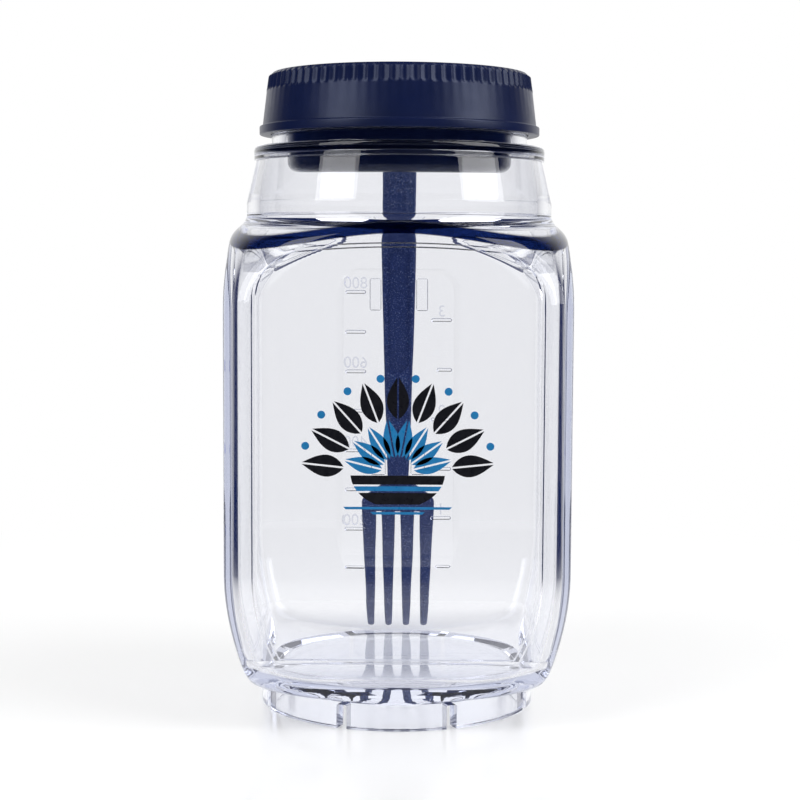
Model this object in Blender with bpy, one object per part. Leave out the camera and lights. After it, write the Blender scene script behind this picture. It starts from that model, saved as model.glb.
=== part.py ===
"""Square salad jar with a screw cap, a dressing cup hung in its neck and a fork clipped on its back.

Units are metres. +Z is up, the plain front faces -Y and the fork is on the +Y side. Every piece is
drawn about the jar's own upright axis and hangs from one empty, which sets that axis a little
forward of the origin, so that the origin is the middle of everything that stands on the table.
"""
import math

import bmesh
import bpy
from mathutils import Vector

# Body of the jar
BODY_WIDTH = 0.0975
BODY_CORNER_RADIUS = 0.0090
WALL = 0.0040
FLOOR_THICKNESS = 0.0050
FLOOR_FILLET = 0.0090

# Foot ring, with drain notches; its radius is the body's half width less the inset
FOOT_INSET = 0.00775
FOOT_WALL = 0.0045
FOOT_HEIGHT = 0.0080
FOOT_HOLLOW_DEPTH = 0.0070
NOTCH_WIDTH = 0.0031
NOTCH_COUNT = 8

# Heights of the body's stretches, from the foot up
LOWER_CURVE_HEIGHT = 0.0370
STRAIGHT_HEIGHT = 0.0953
SHOULDER_HEIGHT = 0.0039
COLLAR_HEIGHT = 0.0051
CONE_HEIGHT = 0.0125
BEAD_HEIGHT = 0.0041
SEAT_HEIGHT = 0.0038
FINISH_HEIGHT = 0.01085
CORNER_BLEND_DROP = 0.0233

# Steps of the round neck, each from the radius before it, starting at the body's half width
COLLAR_INSET = 0.00345
CONE_TAPER = 0.0029
BEAD_RELIEF = 0.0007
BEAD_ROUNDING = 0.0009
BEAD_STEP = 0.0052
SEAT_STEP = 0.0013
FINISH_WALL = 0.0029
NECK_WALL = 0.0030
RIM_CHAMFER = 0.0004
LEDGE_THICKNESS = 0.0025
LEDGE_SLOPE = 0.0017

# Roof of the inside, under the shoulder
ROOF_DROP = 0.0011
ROOF_HEIGHT = 0.0025
ROOF_CORNER_RISE = 0.0014

# Screw thread, shared by the jar's neck and the cap
THREAD_LEAD = 0.0060
THREAD_DEPTH = 0.0011
THREAD_ROOT_HEIGHT = 0.0024
THREAD_CREST_HEIGHT = 0.0010
THREAD_RADIAL_CLEARANCE = 0.0005
THREAD_END_GAP = 0.0015
JAR_THREAD_TURNS = 1.10
CAP_THREAD_TURNS = 0.90
THREAD_EMBED = 0.0005

# Dressing cup, with the seal under its flange
CUP_WALL = 0.0016
CUP_DEPTH = 0.0270
CUP_CORNER_RADIUS = 0.0030
CUP_FLANGE_INSET = 0.0002
CUP_FLANGE_THICKNESS = 0.0015
CUP_CLEARANCE = 0.0005
SEAL_THICKNESS = 0.0010

# Gasket in the cap
GASKET_THICKNESS = 0.0012
GASKET_WIDTH = 0.0046

# Cap
CAP_HEIGHT = 0.01805
CAP_TOP_THICKNESS = 0.0020
CAP_HEAD_WALL = 0.0012
CAP_FOOT_WALL = 0.0024
CAP_FLANGE_REACH = 0.0009
CAP_FLANGE_HEIGHT = 0.0025
CAP_BAND_INSET = 0.0006
CAP_BAND_HEIGHT = 0.0043
CAP_EDGE_DROP = 0.0010
CAP_EDGE_INSET = 0.0012
CAP_STEP_HEIGHT = 0.0003
RIB_DEPTH = 0.0005
RIB_COUNT = 84
POCKET_CLEARANCE = 0.0005

# Recess in the back wall, its two pairs of clips and its raised scale
RECESS_WIDTH = 0.0380
RECESS_BOTTOM = 0.0262
RECESS_HEIGHT = 0.1030
RECESS_DEPTH = 0.0012
RECESS_CORNER_RADIUS = 0.0070
CLIP_HEIGHT = 0.0104
CLIP_TIP_CHAMFER = 0.0006
UPPER_CLIP_BOTTOM = 0.1160
UPPER_CLIP_WIDTH = 0.0037
LOWER_CLIP_WIDTH = 0.0046
MARK_RELIEF = 0.0003
MARK_THICKNESS = 0.0013
MARK_LENGTH = 0.0070
HALF_MARK_LENGTH = 0.0052
MARK_OUTER_X = 0.0175
MILLILITRE_FIRST = 0.0313
MILLILITRE_PITCH = 0.01296
MILLILITRE_MARKS = 8
CUP_MARK_FIRST = 0.0316
CUP_MARK_PITCH = 0.0163
CUP_MARKS = 6

# Fork
FORK_LENGTH = 0.1630
FORK_TIP_HEIGHT = 0.0055
FORK_THICKNESS = 0.0030
FORK_HANDLE_WIDTH = 0.0118
FORK_NECK_WIDTH = 0.0070
FORK_HEAD_WIDTH = 0.0238
FORK_HEAD_LENGTH = 0.0560
FORK_TINE_LENGTH = 0.0440
FORK_TINE_COUNT = 4
FORK_TINE_GAP = 0.0017
FORK_TIP_WIDTH = 0.0021
FORK_TIP_SPAN = 0.0196
FORK_TIP_THICKNESS = 0.0018
FORK_BOWL_DEPTH = 0.0030
FORK_END_ROUNDING = 0.0040
FORK_EDGE_CHAMFER = 0.0005
FORK_PANEL_WIDTH = 0.0070
FORK_PANEL_LENGTH = 0.0400
FORK_PANEL_BOTTOM = 0.0960
FORK_PANEL_DEPTH = 0.0005

# Small gap between pieces that touch on the real jar, and the overrun of every cut
SEAT_GAP = 0.0003
OVERRUN = 0.0010

# Faces round a ring: points on each quarter of the jar, and on each round piece
QUARTER_POINTS = 15
ROUND_POINTS = 64
CORNER_STEPS = 5

# Shares that shape the curves
LOWER_CURVE_PULL_SHARE = 0.57
LOWER_CORNER_POWER = 16.0
UPPER_CORNER_POWER = 2.4
LOWER_CURVE_SHARES = (0.0, 0.18, 0.36, 0.54, 0.72, 0.86, 0.95, 1.0)
BLEND_SHARES = (0.0, 0.25, 0.50, 0.68, 0.84, 1.0)
SHOULDER_SHARES = (0.33, 0.66, 1.0)
ROOF_SHARES = (0.0, 0.28, 0.50, 0.68, 0.82, 0.92, 1.0)
FORK_HEAD_SHARES = (0.0, 0.25, 0.40, 0.55, 0.70, 0.85, 1.0)
FORK_HEAD_FULL_SHARE = 0.25
FORK_HANDLE_SHARES = (0.12, 0.30, 0.55, 0.80, 1.0)
FORK_TINE_SHARES = (0.04, 0.30, 0.50)

# Heights and radii that follow
BODY_HALF = BODY_WIDTH / 2
INNER_CORNER_RADIUS = BODY_CORNER_RADIUS - WALL
STRAIGHT_BOTTOM = FOOT_HEIGHT + LOWER_CURVE_HEIGHT
STRAIGHT_TOP = STRAIGHT_BOTTOM + STRAIGHT_HEIGHT
SHOULDER_TOP = STRAIGHT_TOP + SHOULDER_HEIGHT
COLLAR_TOP = SHOULDER_TOP + COLLAR_HEIGHT
CONE_TOP = COLLAR_TOP + CONE_HEIGHT
BEAD_TOP = CONE_TOP + BEAD_HEIGHT
SEAT_TOP = BEAD_TOP + SEAT_HEIGHT
RIM_TOP = SEAT_TOP + FINISH_HEIGHT
FLOOR_TOP = FOOT_HOLLOW_DEPTH + FLOOR_THICKNESS

FOOT_RADIUS = BODY_HALF - FOOT_INSET
COLLAR_RADIUS = BODY_HALF - COLLAR_INSET
CONE_TOP_RADIUS = COLLAR_RADIUS - CONE_TAPER
BEAD_RADIUS = CONE_TOP_RADIUS + BEAD_RELIEF
SEAT_RADIUS = BEAD_RADIUS - BEAD_STEP
FINISH_RADIUS = SEAT_RADIUS - SEAT_STEP
BORE_RADIUS = FINISH_RADIUS - FINISH_WALL
CUP_RADIUS = BORE_RADIUS - CUP_CLEARANCE
CUP_FLANGE_RADIUS = FINISH_RADIUS - CUP_FLANGE_INSET
GASKET_BORE_RADIUS = CUP_FLANGE_RADIUS - GASKET_WIDTH
CAP_POCKET_RADIUS = CUP_FLANGE_RADIUS + POCKET_CLEARANCE
CAP_BORE_RADIUS = FINISH_RADIUS + THREAD_DEPTH + THREAD_RADIAL_CLEARANCE
CAP_SKIRT_HEAD_RADIUS = CAP_BORE_RADIUS + CAP_HEAD_WALL
CAP_SKIRT_FOOT_RADIUS = CAP_BORE_RADIUS + CAP_FOOT_WALL
CAP_FLANGE_RADIUS = CAP_SKIRT_FOOT_RADIUS + CAP_FLANGE_REACH
CAP_BAND_TOP_RADIUS = CAP_SKIRT_HEAD_RADIUS - CAP_BAND_INSET

SEAL_BOTTOM = RIM_TOP + SEAT_GAP
FLANGE_BOTTOM = SEAL_BOTTOM + SEAL_THICKNESS + SEAT_GAP
FLANGE_TOP = FLANGE_BOTTOM + CUP_FLANGE_THICKNESS
GASKET_BOTTOM = FLANGE_TOP + SEAT_GAP
CAP_CEILING = GASKET_BOTTOM + GASKET_THICKNESS + SEAT_GAP
CAP_TOP = CAP_CEILING + CAP_TOP_THICKNESS
CAP_BOTTOM = CAP_TOP - CAP_HEIGHT
JAR_THREAD_START = SEAT_TOP + THREAD_END_GAP + THREAD_ROOT_HEIGHT / 2

RECESS_FLOOR_Y = BODY_HALF - RECESS_DEPTH
FORK_INNER_Y = BODY_HALF + SEAT_GAP
FORK_OUTER_Y = FORK_INNER_Y + FORK_THICKNESS
CLIP_TIP_Y = FORK_OUTER_Y + SEAT_GAP
LOWER_CLIP_BOTTOM = FORK_TIP_HEIGHT + FORK_HEAD_LENGTH + SEAT_GAP
BOWL_LENGTH = FORK_HEAD_LENGTH + FORK_NECK_WIDTH
BOWL_TINE_SHARE = BOWL_LENGTH / 2 / FORK_TINE_LENGTH
BOWL_TINE_THICKNESS = FORK_TIP_THICKNESS + (FORK_THICKNESS - FORK_TIP_THICKNESS) * BOWL_TINE_SHARE
BACK_REACH = (FORK_INNER_Y + FORK_OUTER_Y + BOWL_TINE_THICKNESS) / 2 + FORK_BOWL_DEPTH
AXIS_Y = (BODY_HALF - BACK_REACH) / 2


def clear_scene():
    for item in list(bpy.data.objects):
        bpy.data.objects.remove(item, do_unlink=True)


def make_material(name, color, roughness, alpha=1.0):
    material = bpy.data.materials.new(name)
    material.use_nodes = True
    shader = material.node_tree.nodes["Principled BSDF"]
    shader.inputs["Base Color"].default_value = (*color, 1.0)
    shader.inputs["Roughness"].default_value = roughness
    shader.inputs["Metallic"].default_value = 0.0
    shader.inputs["Alpha"].default_value = alpha
    return material


def add_object(name, mesh_builder, parent, material=None, smooth_degrees=30.0):
    """Turn a bmesh into a named object that hangs from the parent."""
    bmesh.ops.recalc_face_normals(mesh_builder, faces=mesh_builder.faces)
    mesh = bpy.data.meshes.new(name)
    mesh_builder.to_mesh(mesh)
    mesh_builder.free()
    mesh.shade_smooth()
    mesh.set_sharp_from_angle(angle=math.radians(smooth_degrees))
    item = bpy.data.objects.new(name, mesh)
    bpy.context.collection.objects.link(item)
    item.parent = parent
    if material is not None:
        mesh.materials.append(material)
    return item


def add_tool(name, mesh_builder, parent):
    """A shape that only cuts or adds to another one."""
    tool = add_object(name, mesh_builder, parent)
    tool.hide_render = True
    tool.display_type = "WIRE"
    return tool


def combine(item, tool, operation):
    modifier = item.modifiers.new(tool.name, "BOOLEAN")
    modifier.object = tool
    modifier.operation = operation
    modifier.solver = "EXACT"


def rounded_square(height, half, radius):
    """One level ring of the jar: a square with round corners, or a circle where half == radius."""
    points = []
    for quarter in range(4):
        toward = math.radians(90 * quarter + 45)
        centre_x = math.copysign(half - radius, math.cos(toward))
        centre_y = math.copysign(half - radius, math.sin(toward))
        for step in range(QUARTER_POINTS):
            angle = math.radians(90 * (quarter + (step + 0.5) / QUARTER_POINTS))
            points.append(Vector((centre_x + radius * math.cos(angle),
                                  centre_y + radius * math.sin(angle), height)))
    return points


def circle(height, radius, count=ROUND_POINTS):
    turns = [2 * math.pi * step / count for step in range(count)]
    return [Vector((radius * math.cos(turn), radius * math.sin(turn), height)) for turn in turns]


def bridge(builder, lower, upper):
    """Faces between two closed rings, where one may have a whole number of times more points."""
    if len(lower) == len(upper):
        for i in range(len(lower)):
            j = (i + 1) % len(lower)
            builder.faces.new((lower[i], lower[j], upper[j], upper[i]))
        return
    few, many = (lower, upper) if len(lower) < len(upper) else (upper, lower)
    ratio = len(many) // len(few)
    for i, corner in enumerate(few):
        following = few[(i + 1) % len(few)]
        span = [many[(i * ratio + k) % len(many)] for k in range(ratio + 1)]
        builder.faces.new((corner, following, span[-1]))
        for first, second in zip(span, span[1:]):
            builder.faces.new((corner, second, first))


def loft(rings, closed=False):
    """Skin a list of rings. The ends are filled, or the last ring joins the first one."""
    builder = bmesh.new()
    rows = [[builder.verts.new(point) for point in ring] for ring in rings]
    for lower, upper in zip(rows, rows[1:]):
        bridge(builder, lower, upper)
    if closed:
        bridge(builder, rows[-1], rows[0])
    else:
        builder.faces.new(rows[0])
        builder.faces.new(rows[-1])
    return builder


def arc(centre_r, centre_z, radius, start_degrees, end_degrees, steps):
    """Points (r, z) along an arc of a turned profile."""
    points = []
    for step in range(steps + 1):
        angle = math.radians(start_degrees + (end_degrees - start_degrees) * step / steps)
        points.append((centre_r + radius * math.cos(angle), centre_z + radius * math.sin(angle)))
    return points


def lower_half(share):
    """Half width and height on the curve that draws the body in to its foot; share 0 is its top."""
    pull = FOOT_HEIGHT + LOWER_CURVE_PULL_SHARE * LOWER_CURVE_HEIGHT
    half = BODY_HALF - (BODY_HALF - FOOT_RADIUS) * share ** 2
    height = (STRAIGHT_BOTTOM * (1 - share) ** 2 + 2 * pull * share * (1 - share)
              + FOOT_HEIGHT * share ** 2)
    return half, height


def corner_radius(half, height, tight_radius=BODY_CORNER_RADIUS):
    """The body's corners, tight on the straight stretch and opening into a circle at both ends."""
    blend_bottom = STRAIGHT_TOP - CORNER_BLEND_DROP
    if height < STRAIGHT_BOTTOM:
        share = (STRAIGHT_BOTTOM - height) / LOWER_CURVE_HEIGHT
        blend = min(share, 1.0) ** LOWER_CORNER_POWER
    elif height > blend_bottom:
        share = (height - blend_bottom) / (SHOULDER_TOP - blend_bottom)
        blend = min(share, 1.0) ** UPPER_CORNER_POWER
    else:
        blend = 0.0
    return tight_radius + (half - tight_radius) * blend


def body_profile():
    """Outer (half, height) points from the foot's top to the collar over the shoulder."""
    points = [lower_half(share) for share in reversed(LOWER_CURVE_SHARES)]
    for share in BLEND_SHARES:
        points.append((BODY_HALF, STRAIGHT_TOP - CORNER_BLEND_DROP * (1 - share)))
    for share in SHOULDER_SHARES:
        points.append((BODY_HALF - (BODY_HALF - COLLAR_RADIUS) * share,
                       STRAIGHT_TOP + SHOULDER_HEIGHT * share))
    points.append((COLLAR_RADIUS, COLLAR_TOP))
    points.append((CONE_TOP_RADIUS, CONE_TOP))
    return points


def inner_offset(points, index):
    """The profile point moved inward by the wall's thickness."""
    before = Vector(points[max(index - 1, 0)])
    after = Vector(points[min(index + 1, len(points) - 1)])
    along = (after - before).normalized()
    return points[index][0] - WALL * along.y, points[index][1] + WALL * along.x


def outer_rings():
    rings = [rounded_square(height, half, corner_radius(half, height))
             for half, height in body_profile()]
    bead = arc(BEAD_RADIUS - BEAD_ROUNDING, CONE_TOP + BEAD_ROUNDING, BEAD_ROUNDING, -60, 0, 2)
    bead += arc(BEAD_RADIUS - BEAD_ROUNDING, BEAD_TOP - BEAD_ROUNDING, BEAD_ROUNDING, 0, 90, 3)
    neck = bead + [(SEAT_RADIUS, BEAD_TOP), (SEAT_RADIUS, SEAT_TOP - SEAT_GAP),
                   (FINISH_RADIUS, SEAT_TOP), (FINISH_RADIUS, RIM_TOP - RIM_CHAMFER),
                   (FINISH_RADIUS - RIM_CHAMFER, RIM_TOP)]
    rings += [rounded_square(height, radius, radius) for radius, height in neck]
    return rings


def inner_rings():
    """Rings from the rim down the bore, out along the roof under the shoulder, down to the floor."""
    ledge_radius = CONE_TOP_RADIUS - NECK_WALL
    ledge_height = BEAD_TOP - LEDGE_THICKNESS
    roof_radius = COLLAR_RADIUS - WALL
    roof_top = SHOULDER_TOP - ROOF_DROP
    bore = [(BORE_RADIUS + RIM_CHAMFER, RIM_TOP), (BORE_RADIUS, RIM_TOP - RIM_CHAMFER),
            (BORE_RADIUS, ledge_height + LEDGE_SLOPE), (ledge_radius, ledge_height),
            (roof_radius, COLLAR_TOP), (roof_radius, roof_top)]
    rings = [rounded_square(height, radius, radius) for radius, height in bore]
    side_half = BODY_HALF - WALL
    roof_bottom = roof_top - ROOF_HEIGHT
    blend_bottom = STRAIGHT_TOP - CORNER_BLEND_DROP
    for share in reversed(ROOF_SHARES):
        height = blend_bottom + (roof_bottom - blend_bottom) * share
        outer_height = height + ROOF_CORNER_RISE * share
        rings.append(rounded_square(height, side_half,
                                    corner_radius(side_half, outer_height, INNER_CORNER_RADIUS)))
    fillet_top = FLOOR_TOP + FLOOR_FILLET
    above_half, above_height = side_half, blend_bottom
    lower = body_profile()[:len(LOWER_CURVE_SHARES)]
    for index in range(len(lower) - 1, -1, -1):
        half, height = inner_offset(lower, index)
        if height < fillet_top:
            share = (fillet_top - height) / (above_height - height)
            fillet_half = half + (above_half - half) * share
            break
        outer_height = lower[index][1]
        rings.append(rounded_square(height, half, corner_radius(half, outer_height, INNER_CORNER_RADIUS)))
        above_half, above_height = half, height
    for half, height in arc(fillet_half - FLOOR_FILLET, fillet_top, FLOOR_FILLET, 0, -90, 6):
        outer_height = height - WALL
        rings.append(rounded_square(height, half, corner_radius(half, outer_height, INNER_CORNER_RADIUS)))
    return rings


def foot_rings():
    hollow_radius = FOOT_RADIUS - FOOT_WALL
    return [rounded_square(FOOT_HOLLOW_DEPTH, hollow_radius - RIM_CHAMFER, hollow_radius - RIM_CHAMFER),
            rounded_square(0, hollow_radius, hollow_radius),
            rounded_square(0, FOOT_RADIUS - RIM_CHAMFER, FOOT_RADIUS - RIM_CHAMFER),
            rounded_square(RIM_CHAMFER, FOOT_RADIUS, FOOT_RADIUS)]


def box(builder, low, high):
    """A plain box between two corners, added to a mesh."""
    corners = [builder.verts.new((x, y, z)) for z in (low[2], high[2])
               for x, y in ((low[0], low[1]), (high[0], low[1]), (high[0], high[1]), (low[0], high[1]))]
    for face in ((3, 2, 1, 0), (4, 5, 6, 7), (0, 1, 5, 4), (1, 2, 6, 5), (2, 3, 7, 6), (3, 0, 4, 7)):
        builder.faces.new([corners[i] for i in face])
    return corners


def foot_notches():
    builder = bmesh.new()
    inner = FOOT_RADIUS - FOOT_WALL - OVERRUN
    for index in range(NOTCH_COUNT):
        angle = 2 * math.pi * (index + 0.5) / NOTCH_COUNT
        corners = box(builder, (inner, -NOTCH_WIDTH / 2, -OVERRUN),
                      (FOOT_RADIUS + OVERRUN, NOTCH_WIDTH / 2, FOOT_HOLLOW_DEPTH))
        for corner in corners:
            x, y, z = corner.co
            corner.co = (x * math.cos(angle) - y * math.sin(angle),
                         x * math.sin(angle) + y * math.cos(angle), z)
    return builder


def upright_plate(half_width, bottom, height, radius, near_y, far_y, draft=0.0):
    """A plate with round corners that stands across Y; the far face is smaller by the draft."""
    rings = []
    for y, inset in ((near_y, 0.0), (far_y, draft)):
        ring = []
        for quarter in range(4):
            toward = math.radians(90 * quarter + 45)
            centre_x = math.copysign(half_width - radius, math.cos(toward))
            centre_z = bottom + height / 2 + math.copysign(height / 2 - radius, math.sin(toward))
            for step in range(CORNER_STEPS + 1):
                angle = math.radians(90 * (quarter + step / CORNER_STEPS))
                reach = radius - inset
                ring.append(Vector((centre_x + reach * math.cos(angle), y,
                                    centre_z + reach * math.sin(angle))))
        rings.append(ring)
    return loft(rings)


def recess_cutter():
    return upright_plate(RECESS_WIDTH / 2 + RECESS_DEPTH, RECESS_BOTTOM - RECESS_DEPTH,
                         RECESS_HEIGHT + 2 * RECESS_DEPTH, RECESS_CORNER_RADIUS + RECESS_DEPTH,
                         BODY_HALF + RECESS_DEPTH, RECESS_FLOOR_Y, 2 * RECESS_DEPTH)


def inner_pad():
    """The recess keeps its wall: the same panel stands proud on the inside."""
    inner_face = BODY_HALF - WALL
    return upright_plate(RECESS_WIDTH / 2 + WALL / 2 + RECESS_DEPTH, RECESS_BOTTOM - WALL / 2,
                         RECESS_HEIGHT + WALL, RECESS_CORNER_RADIUS + WALL / 2,
                         inner_face + WALL / 4, inner_face - RECESS_DEPTH, RECESS_DEPTH)


def handle_half_width(height):
    """Half the fork's width at a height on its neck and handle."""
    neck_top = FORK_TIP_HEIGHT + FORK_HEAD_LENGTH
    end = FORK_TIP_HEIGHT + FORK_LENGTH
    share = min(max((height - neck_top) / (end - neck_top), 0.0), 1.0)
    widened = math.sin(share * math.pi / 2)
    return (FORK_NECK_WIDTH + (FORK_HANDLE_WIDTH - FORK_NECK_WIDTH) * widened) / 2


def back_face(height):
    """The back wall's outer face: the recess's floor, or the wall where it curves in below that."""
    profile = body_profile()
    for (low_half, low), (high_half, high) in zip(profile, profile[1:]):
        if low <= height <= high:
            share = (height - low) / (high - low)
            return min(RECESS_FLOOR_Y, low_half + (high_half - low_half) * share)
    return RECESS_FLOOR_Y


def add_mark(builder, left, right, height):
    """One raised bar of the scale."""
    face = back_face(height)
    box(builder, (left, face - WALL / 4, height - MARK_THICKNESS / 2),
        (right, face + MARK_RELIEF, height + MARK_THICKNESS / 2))


def clip_posts_and_marks():
    builder = bmesh.new()
    for bottom, width in ((UPPER_CLIP_BOTTOM, UPPER_CLIP_WIDTH), (LOWER_CLIP_BOTTOM, LOWER_CLIP_WIDTH)):
        gap = handle_half_width(bottom + CLIP_HEIGHT) + SEAT_GAP
        root = back_face(bottom) - WALL / 4
        for side in (-1, 1):
            near, far = sorted((side * gap, side * (gap + width)))
            corners = box(builder, (near, root, bottom), (far, CLIP_TIP_Y, bottom + CLIP_HEIGHT))
            middle_x = (near + far) / 2
            for corner in corners:
                if corner.co.y == max(c.co.y for c in corners):
                    corner.co.x -= math.copysign(CLIP_TIP_CHAMFER, corner.co.x - middle_x)
    for index in range(MILLILITRE_MARKS):
        height = MILLILITRE_FIRST + MILLILITRE_PITCH * index
        add_mark(builder, -MARK_OUTER_X, MARK_LENGTH - MARK_OUTER_X, height)
    for index in range(CUP_MARKS):
        height = CUP_MARK_FIRST + CUP_MARK_PITCH * index
        length = MARK_LENGTH if index % 2 else HALF_MARK_LENGTH
        add_mark(builder, MARK_OUTER_X - length, MARK_OUTER_X, height)
    return builder


def thread_ridge(wall_radius, start_height, start_degrees, turns, outward):
    """A helical ridge with run-out ends, sunk a little into the wall that carries it."""
    steps = round(turns * QUARTER_POINTS * 4)
    run_out = QUARTER_POINTS / 2
    rings = []
    for step in range(steps + 1):
        share = step / steps
        angle = math.radians(start_degrees) + 2 * math.pi * turns * share
        height = start_height + THREAD_LEAD * turns * share
        grown = min(step / run_out, (steps - step) / run_out, 1.0)
        crest = wall_radius + outward * ((THREAD_DEPTH + THREAD_EMBED / 2) * grown - THREAD_EMBED / 2)
        root = wall_radius - outward * THREAD_EMBED
        ring = []
        for radius, half in ((root, THREAD_ROOT_HEIGHT / 2), (crest, THREAD_CREST_HEIGHT / 2)):
            for side in ((-1, 1) if radius == root else (1, -1)):
                ring.append(Vector((radius * math.cos(angle), radius * math.sin(angle),
                                    height + side * half)))
        rings.append(ring)
    return loft(rings)


def build_jar(parent, material):
    rings = foot_rings() + outer_rings() + inner_rings()
    jar = add_object("jar_body", loft(rings), parent, material)
    combine(jar, add_tool("notch_cutter", foot_notches(), parent), "DIFFERENCE")
    combine(jar, add_tool("inner_pad", inner_pad(), parent), "UNION")
    combine(jar, add_tool("recess_cutter", recess_cutter(), parent), "DIFFERENCE")
    combine(jar, add_tool("clips_and_marks", clip_posts_and_marks(), parent), "UNION")
    ridge = thread_ridge(FINISH_RADIUS, JAR_THREAD_START, 0.0, JAR_THREAD_TURNS, 1)
    combine(jar, add_tool("neck_thread", ridge, parent), "UNION")
    return jar


def ribbed_circle(height, radius):
    """A ring with a rib on every other point, for the cap's grip."""
    count = 2 * RIB_COUNT
    points = []
    for step in range(count):
        angle = 2 * math.pi * step / count
        reach = radius - (RIB_DEPTH if step % 2 else 0.0)
        points.append(Vector((reach * math.cos(angle), reach * math.sin(angle), height)))
    return points


def build_cap(parent, material):
    band_top = CAP_TOP - CAP_EDGE_DROP
    band_bottom = band_top - CAP_BAND_HEIGHT
    step_top = RIM_TOP - CAP_STEP_HEIGHT
    outer = [circle(CAP_BOTTOM, CAP_FLANGE_RADIUS - RIM_CHAMFER, RIB_COUNT),
             circle(CAP_BOTTOM + RIM_CHAMFER, CAP_FLANGE_RADIUS, RIB_COUNT),
             circle(CAP_BOTTOM + CAP_FLANGE_HEIGHT - RIM_CHAMFER, CAP_FLANGE_RADIUS, RIB_COUNT),
             circle(CAP_BOTTOM + CAP_FLANGE_HEIGHT, CAP_SKIRT_FOOT_RADIUS, RIB_COUNT),
             circle(band_bottom - SEAT_GAP, CAP_SKIRT_HEAD_RADIUS, RIB_COUNT),
             ribbed_circle(band_bottom, CAP_SKIRT_HEAD_RADIUS),
             ribbed_circle(band_top, CAP_BAND_TOP_RADIUS),
             circle(CAP_TOP, CAP_BAND_TOP_RADIUS - CAP_EDGE_INSET, RIB_COUNT)]
    inner = [circle(CAP_CEILING, CAP_POCKET_RADIUS, RIB_COUNT),
             circle(step_top, CAP_POCKET_RADIUS, RIB_COUNT),
             circle(step_top - CAP_STEP_HEIGHT, CAP_BORE_RADIUS, RIB_COUNT),
             circle(CAP_BOTTOM, CAP_BORE_RADIUS, RIB_COUNT)]
    shell = bmesh.new()
    rows = [[shell.verts.new(point) for point in ring] for ring in outer + inner]
    top = len(outer) - 1
    for index, (lower, upper) in enumerate(zip(rows, rows[1:])):
        if index != top:
            bridge(shell, lower, upper)
    shell.faces.new(rows[top])
    shell.faces.new(rows[top + 1])
    bridge(shell, rows[-1], rows[0])
    cap = add_object("screw_cap", shell, parent, material)
    ridge = thread_ridge(CAP_BORE_RADIUS, JAR_THREAD_START, 180.0, CAP_THREAD_TURNS, -1)
    combine(cap, add_tool("cap_thread", ridge, parent), "UNION")
    return cap


def turned(name, profile, parent, material):
    """A round piece from a closed outline of (radius, height) points."""
    return add_object(name, loft([circle(z, r) for r, z in profile], closed=True), parent, material)


def flat_ring(name, inner, outer, bottom, thickness, parent, material):
    top = bottom + thickness
    return turned(name, [(inner, bottom), (outer, bottom), (outer, top), (inner, top)], parent, material)


def build_cup(parent, material):
    bottom = FLANGE_TOP - CUP_DEPTH
    inner_radius = CUP_RADIUS - CUP_WALL
    inner_corner = CUP_CORNER_RADIUS - CUP_WALL
    corner_centre = CUP_RADIUS - CUP_CORNER_RADIUS
    outside = arc(corner_centre, bottom + CUP_CORNER_RADIUS, CUP_CORNER_RADIUS, -90, 0, 4)
    outside += [(CUP_RADIUS, FLANGE_BOTTOM), (CUP_FLANGE_RADIUS, FLANGE_BOTTOM),
                (CUP_FLANGE_RADIUS, FLANGE_TOP)]
    inside = [(inner_radius, FLANGE_TOP)]
    inside += arc(corner_centre, bottom + CUP_CORNER_RADIUS, inner_corner, 0, -90, 3)
    return add_object("dressing_cup", loft([circle(z, r) for r, z in outside + inside]), parent, material)


def bowl_offset(height):
    """How far the fork's head bows away from the jar at a height."""
    share = (height - FORK_TIP_HEIGHT) / BOWL_LENGTH
    return FORK_BOWL_DEPTH * math.sin(math.pi * min(max(share, 0.0), 1.0)) ** 2


def bar_ring(height, centre_x, half_width, thickness):
    """One level cut through the fork: a bar with chamfered edges."""
    middle = (FORK_INNER_Y + FORK_OUTER_Y) / 2 + bowl_offset(height)
    low = middle - thickness / 2
    high = middle + thickness / 2
    chamfer = min(FORK_EDGE_CHAMFER, thickness / 4, half_width / 2)
    corners = [(-half_width + chamfer, low), (half_width - chamfer, low),
               (half_width, low + chamfer), (half_width, high - chamfer),
               (half_width - chamfer, high), (-half_width + chamfer, high),
               (-half_width, high - chamfer), (-half_width, low + chamfer)]
    return [Vector((centre_x + x, y, height)) for x, y in corners]


def fork_body():
    """The fork's handle, neck and the solid part of its head, from the tines' roots up."""
    root = FORK_TIP_HEIGHT + FORK_TINE_LENGTH
    neck = FORK_TIP_HEIGHT + FORK_HEAD_LENGTH
    end = FORK_TIP_HEIGHT + FORK_LENGTH
    rings = []
    for share in FORK_HEAD_SHARES:
        flare = max(share - FORK_HEAD_FULL_SHARE, 0.0) / (1 - FORK_HEAD_FULL_SHARE)
        narrowed = (1 - math.cos(math.pi * flare)) / 2
        half = (FORK_HEAD_WIDTH + (FORK_NECK_WIDTH - FORK_HEAD_WIDTH) * narrowed) / 2
        rings.append(bar_ring(root + (neck - root) * share, 0.0, half, FORK_THICKNESS))
    straight_end = end - FORK_END_ROUNDING
    for share in FORK_HANDLE_SHARES:
        height = neck + (straight_end - neck) * share
        rings.append(bar_ring(height, 0.0, handle_half_width(height), FORK_THICKNESS))
    for degrees in (30, 60, 80):
        angle = math.radians(degrees)
        height = straight_end + FORK_END_ROUNDING * math.sin(angle)
        half = handle_half_width(height) - FORK_END_ROUNDING * (1 - math.cos(angle))
        rings.append(bar_ring(height, 0.0, half, FORK_THICKNESS))
    return loft(rings)


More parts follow.
